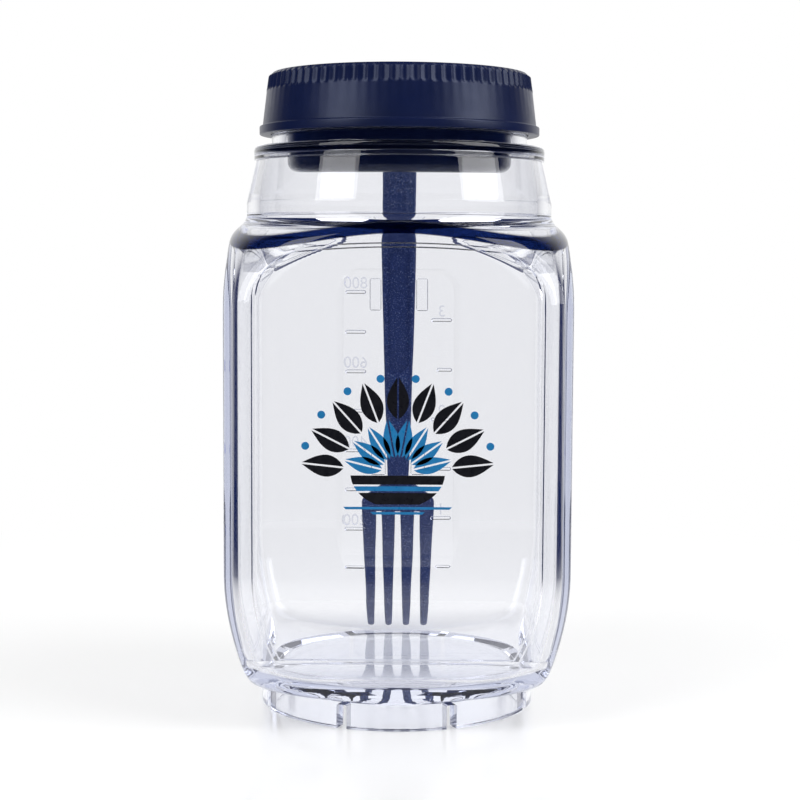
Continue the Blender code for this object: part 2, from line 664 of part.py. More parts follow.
def fork_tines():
    builder = bmesh.new()
    root_width = (FORK_HEAD_WIDTH - (FORK_TINE_COUNT - 1) * FORK_TINE_GAP) / FORK_TINE_COUNT
    root_pitch = root_width + FORK_TINE_GAP
    tip_pitch = (FORK_TIP_SPAN - FORK_TIP_WIDTH) / (FORK_TINE_COUNT - 1)
    root = FORK_TIP_HEIGHT + FORK_TINE_LENGTH
    for index in range(FORK_TINE_COUNT):
        place = index - (FORK_TINE_COUNT - 1) / 2
        rings = []
        for share in (0.0, *FORK_TINE_SHARES, BOWL_TINE_SHARE, 1.0):
            height = FORK_TIP_HEIGHT + FORK_TINE_LENGTH * share
            width = FORK_TIP_WIDTH + (root_width - FORK_TIP_WIDTH) * share
            thickness = FORK_TIP_THICKNESS + (FORK_THICKNESS - FORK_TIP_THICKNESS) * share
            centre = place * (tip_pitch + (root_pitch - tip_pitch) * share)
            if share == 0.0:
                width /= 2
                thickness /= 2
            rings.append(bar_ring(height, centre, width / 2, thickness))
        sunk = root + FORK_THICKNESS / 2
        rings.append(bar_ring(sunk, place * root_pitch, root_width / 2 - FORK_EDGE_CHAMFER,
                              FORK_THICKNESS - FORK_EDGE_CHAMFER))
        piece = loft(rings)
        mesh = bpy.data.meshes.new("tine")
        piece.to_mesh(mesh)
        piece.free()
        builder.from_mesh(mesh)
        bpy.data.meshes.remove(mesh)
    return builder


def build_fork(parent, material):
    fork = add_object("fork", fork_body(), parent, material)
    combine(fork, add_tool("fork_tines", fork_tines(), parent), "UNION")
    panel = upright_plate(FORK_PANEL_WIDTH / 2, FORK_PANEL_BOTTOM, FORK_PANEL_LENGTH,
                          FORK_PANEL_WIDTH / 2 - FORK_EDGE_CHAMFER, FORK_INNER_Y - OVERRUN,
                          FORK_INNER_Y + FORK_PANEL_DEPTH)
    combine(fork, add_tool("handle_panel_cutter", panel, parent), "DIFFERENCE")
    return fork


def main():
    clear_scene()
    axis = bpy.data.objects.new("jar_axis", None)
    bpy.context.collection.objects.link(axis)
    axis.location = (0.0, AXIS_Y, 0.0)
    clear = make_material("clear_plastic", (0.86, 0.88, 0.93), 0.04, alpha=0.35)
    navy = make_material("navy_plastic", (0.012, 0.020, 0.075), 0.38)
    dark = make_material("dark_navy_plastic", (0.010, 0.014, 0.045), 0.30)
    fork_navy = make_material("fork_plastic", (0.018, 0.026, 0.085), 0.32)
    silicone = make_material("silicone", (0.75, 0.76, 0.78), 0.55)
    build_jar(axis, clear)
    build_cap(axis, navy)
    flat_ring("cap_gasket", GASKET_BORE_RADIUS, CUP_FLANGE_RADIUS, GASKET_BOTTOM, GASKET_THICKNESS,
              axis, silicone)
    build_cup(axis, dark)
    flat_ring("cup_seal", CUP_RADIUS + SEAT_GAP, CUP_FLANGE_RADIUS, SEAL_BOTTOM, SEAL_THICKNESS,
              axis, silicone)
    build_fork(axis, fork_navy)


main()
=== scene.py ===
"""Look of the square salad jar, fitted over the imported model. Units are metres, +Z is up and the
plain front faces -Y. Heights and radii repeat the part's own values."""
import math
from math import cos, pi, radians, sin, sqrt

import bmesh
import bpy
from mathutils import Matrix, Vector


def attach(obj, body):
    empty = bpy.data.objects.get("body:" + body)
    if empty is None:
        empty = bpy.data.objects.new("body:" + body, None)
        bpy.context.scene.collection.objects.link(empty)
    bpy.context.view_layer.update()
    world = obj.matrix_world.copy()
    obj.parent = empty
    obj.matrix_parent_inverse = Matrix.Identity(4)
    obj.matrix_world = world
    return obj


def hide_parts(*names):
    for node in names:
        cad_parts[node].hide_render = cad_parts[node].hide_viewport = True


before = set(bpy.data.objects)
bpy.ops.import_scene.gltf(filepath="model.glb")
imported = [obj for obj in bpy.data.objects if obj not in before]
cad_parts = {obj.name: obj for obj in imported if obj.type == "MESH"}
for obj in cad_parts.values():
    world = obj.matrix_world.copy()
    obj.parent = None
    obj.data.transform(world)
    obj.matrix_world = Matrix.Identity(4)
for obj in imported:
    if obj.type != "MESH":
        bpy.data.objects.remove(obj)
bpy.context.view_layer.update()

# Body of the jar
BODY_WIDTH = 0.0975
BODY_CORNER_RADIUS = 0.0090
WALL = 0.0040
FLOOR_THICKNESS = 0.0050
FLOOR_FILLET = 0.0090
FOOT_INSET = 0.00775
FOOT_WALL = 0.0045
FOOT_HEIGHT = 0.0080
FOOT_HOLLOW_DEPTH = 0.0070
NOTCH_WIDTH = 0.0031
NOTCH_COUNT = 8
LOWER_CURVE_HEIGHT = 0.0370
STRAIGHT_HEIGHT = 0.0953
SHOULDER_HEIGHT = 0.0039
COLLAR_HEIGHT = 0.0051
CONE_HEIGHT = 0.0125
BEAD_HEIGHT = 0.0041
SEAT_HEIGHT = 0.0038
FINISH_HEIGHT = 0.01085
CORNER_BLEND_DROP = 0.0233
LOWER_PULL_SHARE = 0.57
LOWER_CORNER_POWER = 16.0
UPPER_CORNER_POWER = 2.4
SHOULDER_ROUNDING = 0.0060

# Faintly sunk panel with an arched top on the front and the two sides
PANEL_STEP = 0.00036
PANEL_LAND = 0.0011
PANEL_TOP = 0.1378
PANEL_BOTTOM = 0.0203
PANEL_CORNER_RADIUS = 0.0140
PANEL_INSET = 0.0085
PANEL_FOOT_HALF = 0.0340
PANEL_ARCH_DROP = 0.0013

# Steps of the round neck, each from the radius before it, and its thread
COLLAR_INSET = 0.00345
CONE_TAPER = 0.0029
BEAD_RELIEF = 0.0007
BEAD_STEP = 0.0052
SEAT_STEP = 0.0013
FINISH_WALL = 0.0029
LEDGE_THICKNESS = 0.0025
LEDGE_SLOPE = 0.0017
NECK_WALL = 0.0030
COLLAR_ROUNDING = 0.0030
ROOF_DROP = 0.0011
ROOF_HEIGHT = 0.0025
ROOF_CORNER_RISE = 0.0014
THREAD_LEAD = 0.0060
THREAD_DEPTH = 0.0011
THREAD_ROOT_HEIGHT = 0.0024
THREAD_CREST_HEIGHT = 0.0010
THREAD_EMBED = 0.0005
THREAD_END_GAP = 0.0015
JAR_THREAD_TURNS = 1.10
CAP_THREAD_TURNS = 0.90

# Dressing cup, seal and gasket
CUP_WALL = 0.0016
CUP_DEPTH = 0.0270
CUP_CORNER_RADIUS = 0.0030
CUP_FLANGE_INSET = 0.0002
CUP_FLANGE_THICKNESS = 0.0015
CUP_CLEARANCE = 0.0005
SEAL_THICKNESS = 0.0010
GASKET_THICKNESS = 0.0012
GASKET_WIDTH = 0.0046

# Cap
CAP_HEIGHT = 0.01805
CAP_TOP_THICKNESS = 0.0020
CAP_HEAD_WALL = 0.0012
CAP_FOOT_WALL = 0.0024
CAP_FLANGE_REACH = 0.0009
CAP_FLANGE_HEIGHT = 0.0025
CAP_BAND_INSET = 0.0006
CAP_BAND_HEIGHT = 0.0043
CAP_EDGE_DROP = 0.0010
CAP_EDGE_INSET = 0.0012
RIB_DEPTH = 0.0005
RIB_COUNT = 84
RIB_POINTS = 8
RIB_POWER = 0.7

# Recess, clips and scale on the back
RECESS_WIDTH = 0.0380
RECESS_BOTTOM = 0.0262
RECESS_HEIGHT = 0.1030
RECESS_DEPTH = 0.0012
RECESS_CORNER_RADIUS = 0.0070
CLIP_HEIGHT = 0.0104
CLIP_ROUNDING = 0.0005
UPPER_CLIP_BOTTOM = 0.1160
UPPER_CLIP_WIDTH = 0.0037
LOWER_CLIP_WIDTH = 0.0046
MARK_RELIEF = 0.00025
MARK_THICKNESS = 0.0015
MARK_LENGTH = 0.0070
HALF_MARK_LENGTH = 0.0052
MARK_OUTER_X = 0.0175
MILLILITRE_FIRST = 0.0313
MILLILITRE_PITCH = 0.01296
MILLILITRE_MARKS = 8
CUP_MARK_FIRST = 0.0316
CUP_MARK_PITCH = 0.0163
CUP_MARKS = 6
DIGIT_SIZE = 0.0052
DIGIT_LIFT = 0.0012

# Fork
FORK_LENGTH = 0.1630
FORK_TIP_HEIGHT = 0.0055
FORK_THICKNESS = 0.0030
FORK_HANDLE_WIDTH = 0.0118
FORK_NECK_WIDTH = 0.0070
FORK_HEAD_WIDTH = 0.0238
FORK_HEAD_LENGTH = 0.0560
FORK_TINE_LENGTH = 0.0440
FORK_TINE_COUNT = 4
FORK_TINE_GAP = 0.0017
FORK_TIP_WIDTH = 0.0021
FORK_TIP_SPAN = 0.0196
FORK_TIP_THICKNESS = 0.0018
FORK_BOWL_DEPTH = 0.0030
FORK_END_ROUNDING = 0.0040
FORK_EDGE_ROUNDING = 0.0009
FORK_PANEL_WIDTH = 0.0070
FORK_PANEL_LENGTH = 0.0400
FORK_PANEL_BOTTOM = 0.0960
FORK_PANEL_DEPTH = 0.0005
FORK_HEAD_FULL_SHARE = 0.25
FORK_END_DEGREES = 84.0
THICKNESS_ROUND_SHARE = 0.48
WIDTH_ROUND_SHARE = 0.9
TINE_CROWDING_POWER = 1.5
TINE_BLUNT_SHARE = 0.3

# Printed leaf ornament on the front. A fan is its count of leaves, the first one's degrees, and
# their distance from the bowl's middle, their length and their width
PRINT_THICKNESS = 0.00003
PRINT_GAP = 0.00001
FAN_HEIGHT = 0.0745
LEAF_STEPS = 12
LEAF_BELLY_POWER = 0.8
MIDRIB_WIDTH = 0.0005
OUTER_FAN = (9, 6.0, 0.0150, 0.0115, 0.0056)
INNER_FAN = (8, 14.0, 0.0045, 0.0105, 0.0040)
BERRY_RADIUS = 0.0011
BOWL_RADIUS = 0.0130
BOWL_DEPTH = 0.0086
BOWL_RIM_DROP = 0.0006
BOWL_STRIPE_DROP = 0.0036
BOWL_STRIPE_WIDTH = 0.0013
LINE_WIDTH = 0.0007
LINE_HALF_LENGTH = 0.0150

# Small gaps, roundings and steps
SEAT_GAP = 0.0003
BEVEL = 0.0004
OVERRUN = 0.0010
QUARTER_POINTS = 80
CORNER_CROWDING = 0.72
ROUND_POINTS = 256
CURVE_STEPS = 28
BODY_STEPS = 44
ROW_HEIGHT = 0.0007
ROUNDING_STEPS = 5
FILLET_STEPS = 16
CUP_OUTSIDE_STEPS = 10
CUP_INSIDE_STEPS = 8
SMOOTH_DEGREES = 30.0
FLAT_WEIGHT = 100

# Heights and radii that follow
BODY_HALF = BODY_WIDTH / 2
INNER_CORNER_RADIUS = BODY_CORNER_RADIUS - WALL
STRAIGHT_BOTTOM = FOOT_HEIGHT + LOWER_CURVE_HEIGHT
STRAIGHT_TOP = STRAIGHT_BOTTOM + STRAIGHT_HEIGHT
BLEND_BOTTOM = STRAIGHT_TOP - CORNER_BLEND_DROP
SHOULDER_TOP = STRAIGHT_TOP + SHOULDER_HEIGHT
COLLAR_TOP = SHOULDER_TOP + COLLAR_HEIGHT
CONE_TOP = COLLAR_TOP + CONE_HEIGHT
BEAD_TOP = CONE_TOP + BEAD_HEIGHT
SEAT_TOP = BEAD_TOP + SEAT_HEIGHT
RIM_TOP = SEAT_TOP + FINISH_HEIGHT
FLOOR_TOP = FOOT_HOLLOW_DEPTH + FLOOR_THICKNESS
FOOT_RADIUS = BODY_HALF - FOOT_INSET
COLLAR_RADIUS = BODY_HALF - COLLAR_INSET
CONE_TOP_RADIUS = COLLAR_RADIUS - CONE_TAPER
BEAD_RADIUS = CONE_TOP_RADIUS + BEAD_RELIEF
SEAT_RADIUS = BEAD_RADIUS - BEAD_STEP
FINISH_RADIUS = SEAT_RADIUS - SEAT_STEP
BORE_RADIUS = FINISH_RADIUS - FINISH_WALL
CUP_RADIUS = BORE_RADIUS - CUP_CLEARANCE
CUP_FLANGE_RADIUS = FINISH_RADIUS - CUP_FLANGE_INSET
GASKET_BORE_RADIUS = CUP_FLANGE_RADIUS - GASKET_WIDTH
CAP_POCKET_RADIUS = CUP_FLANGE_RADIUS + CUP_CLEARANCE
CAP_BORE_RADIUS = FINISH_RADIUS + THREAD_DEPTH + CUP_CLEARANCE
CAP_HEAD_RADIUS = CAP_BORE_RADIUS + CAP_HEAD_WALL
CAP_FOOT_RADIUS = CAP_BORE_RADIUS + CAP_FOOT_WALL
CAP_FLANGE_RADIUS = CAP_FOOT_RADIUS + CAP_FLANGE_REACH
CAP_BAND_RADIUS = CAP_HEAD_RADIUS - CAP_BAND_INSET
SEAL_BOTTOM = RIM_TOP + SEAT_GAP
FLANGE_BOTTOM = SEAL_BOTTOM + SEAL_THICKNESS + SEAT_GAP
FLANGE_TOP = FLANGE_BOTTOM + CUP_FLANGE_THICKNESS
GASKET_BOTTOM = FLANGE_TOP + SEAT_GAP
CAP_CEILING = GASKET_BOTTOM + GASKET_THICKNESS + SEAT_GAP
CAP_TOP = CAP_CEILING + CAP_TOP_THICKNESS
CAP_BOTTOM = CAP_TOP - CAP_HEIGHT
JAR_THREAD_START = SEAT_TOP + THREAD_END_GAP + THREAD_ROOT_HEIGHT / 2
RECESS_FLOOR_Y = BODY_HALF - RECESS_DEPTH
MARK_DRAFT = 1.5 * MARK_RELIEF
FORK_INNER_Y = BODY_HALF + SEAT_GAP
FORK_OUTER_Y = FORK_INNER_Y + FORK_THICKNESS
CLIP_TIP_Y = FORK_OUTER_Y + SEAT_GAP
FORK_NECK_TOP = FORK_TIP_HEIGHT + FORK_HEAD_LENGTH
FORK_END = FORK_TIP_HEIGHT + FORK_LENGTH
FORK_TINE_ROOT = FORK_TIP_HEIGHT + FORK_TINE_LENGTH
LOWER_CLIP_BOTTOM = FORK_NECK_TOP + SEAT_GAP
BOWL_LENGTH = FORK_HEAD_LENGTH + FORK_NECK_WIDTH
BOWL_TINE_SHARE = BOWL_LENGTH / 2 / FORK_TINE_LENGTH
BOWL_TINE_THICKNESS = FORK_TIP_THICKNESS + (FORK_THICKNESS - FORK_TIP_THICKNESS) * BOWL_TINE_SHARE
BACK_REACH = (FORK_INNER_Y + FORK_OUTER_Y + BOWL_TINE_THICKNESS) / 2 + FORK_BOWL_DEPTH
AXIS_Y = (BODY_HALF - BACK_REACH) / 2

# Clear plastic: where trapped light is let out, its tones, its haze and waves (a noise is its scale
# in cycles per metre and its detail), and a painted reflection: a dark blue band round the shoulder
# that stands for the navy cap seen through it
TRAPPED_BOUNCES = 4.5
TRAPPED_COLOUR = (0.87, 0.88, 0.92, 1.0)
CLEAR_COLOUR = (0.985, 0.988, 1.0)
CLEAR_INDEX = 1.54
DEPTH_COLOUR = (0.77, 0.81, 0.97, 1.0)
DEPTH_DENSITY = 9.0
HAZE_NOISE = (400.0, 3.0)
HAZE_ROUGHNESS = (0.0, 0.02)
WAVE_NOISE = (45.0, 1.0)
WAVE_STRENGTH = 0.10
WAVE_RELIEF = 0.0008
# Painted reflection: the navy cap seen through the shoulder is painted in as this dark blue tint, in the
# band set below
PAINTED_REFLECTION_COLOUR = (0.00004, 0.0003, 0.0090)
REFLECTION_BAND_BOTTOM = 0.1417
REFLECTION_BAND_TOP = 0.1436
REFLECTION_BAND_SOFTNESS = 0.0003
REFLECTION_BAND_DIP_SHARE = 0.45

# The studio: its level on matt surfaces, its dark side, where its white side begins, and the table
ROOM_COLOUR = (0.30, 0.30, 0.30, 1.0)
WHITE = (1.0, 1.0, 1.0)
DARK_STUDIO = (0.006, 0.014, 0.075)
REAR_START = 0.45
REAR_END = 0.90
TABLE_HALF = 6.0
TABLE_NEAR = 0.10
TABLE_FAR = 0.35
TABLE_GLOW = 0.32
TABLE_COLOUR = (0.80, 0.80, 0.80, 1.0)
TABLE_ROUGHNESS = 0.22

# The two softboxes: each one's degrees from the camera's own direction, its width and its power
SOFTBOXES = {"left_softbox": (-50.0, 0.75, 9.0), "right_softbox": (68.0, 0.85, 12.0)}
LAMP_DISTANCE = 1.10
LAMP_HEIGHT = 0.92
LAMP_LENGTH = 1.50
LAMP_TARGET_HEIGHT = 0.11

# Finishes of the coloured pieces: tones as (place, colour) stops along a noise, the roughness's range
# along another, and the grain's noise, strength and depth
GRAIN_RELIEF = 0.00005
SPECK_RELIEF = 0.00006
SILICONE_GLOW_DEPTH = 0.001
SATIN = {
    "tone_noise": (60.0, 4.0), "rough_noise": (250.0, 4.0), "grain": (0.25, GRAIN_RELIEF),
    "others": {"Specular Tint": (0.70, 0.78, 1.0, 1.0)}}
INK = {"tone_noise": (500.0, 5.0), "roughness": (0.25, 0.4), "rough_noise": (900.0, 3.0)}
FINISHES = {
    "navy_satin": {
        "tones": [(0.35, (0.003, 0.008, 0.045)), (0.65, (0.005, 0.011, 0.056))],
        "roughness": (0.31, 0.37), "grain_noise": (2500.0, 3.0), **SATIN},
    "dark_navy": {
        "tones": [(0.35, (0.003, 0.004, 0.012)), (0.65, (0.004, 0.006, 0.018))],
        "roughness": (0.06, 0.12), "grain_noise": (1500.0, 3.0), **SATIN},
    "speckled_navy": {
        "tones": [(0.30, (0.020, 0.032, 0.100)), (0.48, (0.042, 0.068, 0.195)),
                  (0.60, (0.060, 0.096, 0.250)), (0.68, (0.34, 0.40, 0.60))],
        "tone_noise": (2600.0, 2.0, 0.65), "roughness": (0.30, 0.45), "rough_noise": (900.0, 3.0),
        "grain_noise": (2000.0, 3.0), "grain": (0.35, SPECK_RELIEF)},
    "pale_silicone": {
        "tones": [(0.35, (0.60, 0.61, 0.63)), (0.65, (0.70, 0.71, 0.73))],
        "tone_noise": (300.0, 4.0), "roughness": (0.5, 0.65), "rough_noise": (700.0, 4.0),
        "grain_noise": (1500.0, 2.0), "grain": (0.2, GRAIN_RELIEF),
        "others": {"Subsurface Weight": 0.2, "Subsurface Radius": (SILICONE_GLOW_DEPTH,) * 3}},
    "dark_ink": {"tones": [(0.3, (0.004, 0.004, 0.005)), (0.7, (0.010, 0.010, 0.012))], **INK},
    "blue_ink": {"tones": [(0.3, (0.012, 0.200, 0.470)), (0.7, (0.016, 0.240, 0.560))], **INK}}

# Camera, as the photograph was taken
CAMERA_DISTANCE = 0.5255
CAMERA_HEIGHT = 0.1357
CAMERA_SIDE = 0.00054
CAMERA_PITCH_DEGREES = 4.9
CAMERA_ROLL_DEGREES = 0.28
CAMERA_LENS = 78.75
CAMERA_SENSOR = 36.0


def between(start, end, share):
    return start + (end - start) * share


def shares(count, first=0):
    """Even steps of a stretch as shares of it, up to the whole."""
    return [step / count for step in range(first, count + 1)]


def clamped(share):
    return min(max(share, 0.0), 1.0)


def polar(reach, turn, height):
    """A point at a distance and a turn from the jar's axis."""
    return Vector((reach * cos(turn), reach * sin(turn), height))


def put(name, data):
    """A new object in the scene."""
    item = bpy.data.objects.new(name, data)
    bpy.context.scene.collection.objects.link(item)
    return item


def to_mesh(name, builder):
    mesh = bpy.data.meshes.new(name)
    builder.to_mesh(mesh)
    builder.free()
    return mesh


def smooth(mesh):
    mesh.shade_smooth()
    mesh.set_sharp_from_angle(angle=radians(SMOOTH_DEGREES))


def add_object(name, builder, material):
    """Turn a bmesh drawn about the jar's axis into a named, smooth shaded object."""
    bmesh.ops.recalc_face_normals(builder, faces=builder.faces)
    mesh = to_mesh(name, builder)
    mesh.transform(Matrix.Translation((0.0, AXIS_Y, 0.0)))
    smooth(mesh)
    if material is not None:
        mesh.materials.append(material)
    return put(name, mesh)


def dress(item, body, slot, *nodes):
    """The piece rides on a body and stands for CAD nodes; the slot is not used."""
    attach(item, body)
    if nodes:
        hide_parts(*nodes)


def merge(item, builder, operation):
    """Cut or join a helper shape, and keep only the result."""
    tool = add_object(item.name + "_tool", builder, None)
    modifier = item.modifiers.new("merge", "BOOLEAN")
    modifier.object = tool
    modifier.operation = operation
    modifier.solver = "EXACT"
    graph = bpy.context.evaluated_depsgraph_get()
    result = bpy.data.meshes.new_from_object(item.evaluated_get(graph))
    item.modifiers.clear()
    old = item.data
    item.data = result
    bpy.data.meshes.remove(old)
    bpy.data.objects.remove(tool)
    smooth(result)


def skin(builder, rows):
    """Faces between each row of vertices and the next one."""
    for lower, upper in zip(rows, rows[1:]):
        for i in range(len(lower)):
            j = (i + 1) % len(lower)
            builder.faces.new((lower[i], lower[j], upper[j], upper[i]))


def loft(rings, closed=False):
    """Skin rings of equal length. The ends are filled, or the last ring joins the first one."""
    builder = bmesh.new()
    rows = [[builder.verts.new(point) for point in ring] for ring in rings]
    if closed:
        skin(builder, rows + rows[:1])
    else:
        skin(builder, rows)
        builder.faces.new(rows[0])
        builder.faces.new(rows[-1])
    return builder


def joined(builders):
    """Several meshes as one, for one cut or one join."""
    whole = bmesh.new()
    for builder in builders:
        mesh = to_mesh("shape", builder)
        whole.from_mesh(mesh)
        bpy.data.meshes.remove(mesh)
    return whole


def turned(builder, angle):
    """The same mesh, turned about the jar's axis."""
    bmesh.ops.transform(builder, matrix=Matrix.Rotation(angle, 4, "Z"), verts=builder.verts)
    return builder


def softened(corners, steps=ROUNDING_STEPS):
    """An outline from (radius, height) corners. All but its two ends turn into arcs, by the bevel or by
    the rounding that a corner has as its third value."""
    points = [corners[0]]
    for before, (reach, height, *rounding), after in zip(corners, corners[1:], corners[2:]):
        here = Vector((reach, height))
        back = Vector(before[:2]) - here
        onward = Vector(after[:2]) - here
        radius = rounding[0] if rounding else BEVEL
        setback = min(radius / math.tan(back.angle(onward) / 2), back.length / 2, onward.length / 2)
        start = here + back.normalized() * setback
        end = here + onward.normalized() * setback
        for share in shares(steps):
            point = start * (1 - share) ** 2 + here * 2 * share * (1 - share) + end * share ** 2
            points.append((point.x, point.y))
    return points + [corners[-1]]


def arc(centre_r, centre_z, radius, start_degrees, end_degrees, steps):
    points = []
    for step in range(steps + 1):
        angle = radians(start_degrees + (end_degrees - start_degrees) * step / steps)
        points.append((centre_r + radius * cos(angle), centre_z + radius * sin(angle)))
    return points


def directions():
    """Directions round the axis, crowded together at the body's four corners."""
    places = [step / QUARTER_POINTS for step in range(4 * QUARTER_POINTS)]
    return [(place + CORNER_CROWDING / (2 * pi) * sin(2 * pi * place)) * pi / 2 for place in places]


def rounded_square(height, half, radius):
    """One level ring of the jar: a square with round corners, or a circle where half == radius."""
    centre = half - radius
    points = []
    for turn in directions():
        across = abs(cos(turn))
        along = abs(sin(turn))
        if half * along <= centre * across:
            reach = half / across
        elif half * across <= centre * along:
            reach = half / along
        else:
            toward = centre * (across + along)
            reach = toward + sqrt(max(toward ** 2 - 2 * centre ** 2 + radius ** 2, 0.0))
        points.append(polar(reach, turn, height))
    return points


def lower_half(share):
    """Half width and height on the curve that draws the body in to its foot; share 0 is its top."""
    pull = FOOT_HEIGHT + LOWER_PULL_SHARE * LOWER_CURVE_HEIGHT
    half = BODY_HALF - (BODY_HALF - FOOT_RADIUS) * share ** 2
    height = (STRAIGHT_BOTTOM * (1 - share) ** 2 + 2 * pull * share * (1 - share)
              + FOOT_HEIGHT * share ** 2)
    return half, height


def corner_radius(half, height, tight_radius=BODY_CORNER_RADIUS):
    """The body's corners, tight on the straight stretch and opening into a circle at both ends."""
    opened = 0.0
    if height < STRAIGHT_BOTTOM:
        share = (STRAIGHT_BOTTOM - height) / LOWER_CURVE_HEIGHT
        opened = min(share, 1.0) ** LOWER_CORNER_POWER
    elif height > BLEND_BOTTOM:
        share = (height - BLEND_BOTTOM) / (SHOULDER_TOP - BLEND_BOTTOM)
        opened = min(share, 1.0) ** UPPER_CORNER_POWER
    return between(tight_radius, half, opened)


def body_profile():
    """Outer (half, height) points from the foot's top to the top of the shoulder."""
    points = [lower_half(1 - share) for share in shares(BODY_STEPS)]
    edge = softened([
        (BODY_HALF, BLEND_BOTTOM),
        (BODY_HALF, STRAIGHT_TOP, SHOULDER_ROUNDING),
        (COLLAR_RADIUS, SHOULDER_TOP, SHOULDER_ROUNDING),
        (COLLAR_RADIUS, COLLAR_TOP)])[:-1]
    for (half, height), (next_half, next_height) in zip(edge, edge[1:]):
        for share in shares(max(1, round((next_height - height) / ROW_HEIGHT)), 1):
            points.append((between(half, next_half, share), between(height, next_height, share)))
    return points


def outer_half(height):
    """Half the body's width at a height, between its foot and its shoulder."""
    low, high = 0.0, 1.0
    for _ in range(CURVE_STEPS):
        middle = (low + high) / 2
        if lower_half(middle)[1] > height:
            low = middle
        else:
            high = middle
    return lower_half(low)[0]


def panel_side(inset):
    """Right-hand half of a panel's outline, from its foot to its top, moved inward by the inset."""
    bottom = PANEL_BOTTOM + inset
    half_width = BODY_HALF - PANEL_INSET - inset
    foot_half = PANEL_FOOT_HALF - inset
    points = []
    for step in range(CURVE_STEPS + 1):
        height = bottom + (STRAIGHT_BOTTOM - bottom) * step / CURVE_STEPS
        share = (STRAIGHT_BOTTOM - height) / (STRAIGHT_BOTTOM - bottom)
        points.append((half_width - (half_width - foot_half) * share ** 2, height))
    radius = PANEL_CORNER_RADIUS - inset
    arch_half = half_width - radius
    arch_slope = math.degrees(math.atan(2 * PANEL_ARCH_DROP / arch_half))
    arch_foot = PANEL_TOP - PANEL_ARCH_DROP - inset
    points += arc(arch_half, arch_foot - radius, radius, 0, 90 - arch_slope, CURVE_STEPS)
    for step in range(1, CURVE_STEPS):
        share = 1 - step / CURVE_STEPS
        points.append((arch_half * share, arch_foot + PANEL_ARCH_DROP * (1 - share ** 2)))
    return points


def panel_cutter():
    """Sinks the front panel in two small steps that follow the face."""
    over = 2 * PANEL_STEP
    builder = bmesh.new()
    rings = []
    for inset, depth in ((-over, -over), (PANEL_STEP, PANEL_STEP), (PANEL_LAND, PANEL_STEP),
                         (PANEL_LAND + PANEL_STEP, 2 * PANEL_STEP)):
        side = [(x, depth - outer_half(height), height) for x, height in panel_side(inset)]
        right = [builder.verts.new(point) for point in side]
        left = [builder.verts.new((-x, y, height)) for x, y, height in side]
        rings.append(right + left[::-1])
    skin(builder, rings)
    count = len(rings[0])
    for ring in (rings[0], rings[-1]):
        for i in range(count // 2 - 1):
            j = count - 1 - i
            builder.faces.new((ring[i], ring[i + 1], ring[j - 1], ring[j]))
    return builder


def sunk_panels():
    """Panels in the front and the two sides; the back has its recess."""
    return joined([turned(panel_cutter(), radians(90 * quarter)) for quarter in (-1, 0, 1)])


def inner_offset(points, index):
    """The profile point moved inward by the wall's thickness."""
    before = Vector(points[max(index - 1, 0)])
    after = Vector(points[min(index + 1, len(points) - 1)])
    along = (after - before).normalized()
    return points[index][0] - WALL * along.y, points[index][1] + WALL * along.x


def neck_outline():
    """The round neck's outline, from the shoulder up its outside, over the rim and down its bore."""
    ledge_height = BEAD_TOP - LEDGE_THICKNESS
    return softened([
        (COLLAR_RADIUS, SHOULDER_TOP + SHOULDER_ROUNDING / 2),
        (COLLAR_RADIUS, COLLAR_TOP, COLLAR_ROUNDING),
        (CONE_TOP_RADIUS, CONE_TOP, BEVEL / 2),
        (BEAD_RADIUS, CONE_TOP, BEAD_HEIGHT / 3),
        (BEAD_RADIUS, BEAD_TOP, BEAD_HEIGHT / 3),
        (SEAT_RADIUS, BEAD_TOP),
        (SEAT_RADIUS, SEAT_TOP, BEVEL / 2),
        (FINISH_RADIUS, SEAT_TOP, BEVEL / 2),
        (FINISH_RADIUS, RIM_TOP),
        (BORE_RADIUS, RIM_TOP),
        (BORE_RADIUS, ledge_height + LEDGE_SLOPE, 2 * BEVEL),
        (CONE_TOP_RADIUS - NECK_WALL, ledge_height, 2 * BEVEL),
        (COLLAR_RADIUS - WALL, COLLAR_TOP, COLLAR_ROUNDING),
        (COLLAR_RADIUS - WALL, SHOULDER_TOP)])


def inner_ring(height, half, outer_height):
    """One level ring of the inside; its corners open as the outside's do at another height."""
    return rounded_square(height, half, corner_radius(half, outer_height, INNER_CORNER_RADIUS))


def inner_rings():
    """Rings from the roof under the shoulder down the walls, round the fillet and onto the floor."""
    inner_half = BODY_HALF - WALL
    roof_top = SHOULDER_TOP - ROOF_DROP
    roof_bottom = roof_top - ROOF_HEIGHT
    start = roof_bottom - BEVEL
    roof = softened([
        (COLLAR_RADIUS - WALL, SHOULDER_TOP),
        (COLLAR_RADIUS - WALL, roof_top),
        (inner_half, roof_bottom),
        (inner_half, start)])
    rings = []
    for half, height in roof[1:]:
        square = corner_radius(half, roof_bottom + ROOF_CORNER_RISE, INNER_CORNER_RADIUS)
        share = clamped((roof_top - height) / ROOF_HEIGHT)
        rings.append(rounded_square(height, half, between(half, square, share)))
    for share in shares(BODY_STEPS, 1):
        height = between(start, BLEND_BOTTOM, share)
        rings.append(inner_ring(height, inner_half, height + ROOF_CORNER_RISE * (1 - share)))
    fillet_top = FLOOR_TOP + FLOOR_FILLET
    profile = body_profile()
    for index in range(BODY_STEPS, -1, -1):
        half, height = inner_offset(profile, index)
        if height < fillet_top:
            break
        rings.append(inner_ring(height, half, profile[index][1]))
        fillet_half = half
    for half, height in arc(fillet_half - FLOOR_FILLET, fillet_top, FLOOR_FILLET, 0, -90, FILLET_STEPS):
        rings.append(inner_ring(height, half, height - WALL))
    return rings


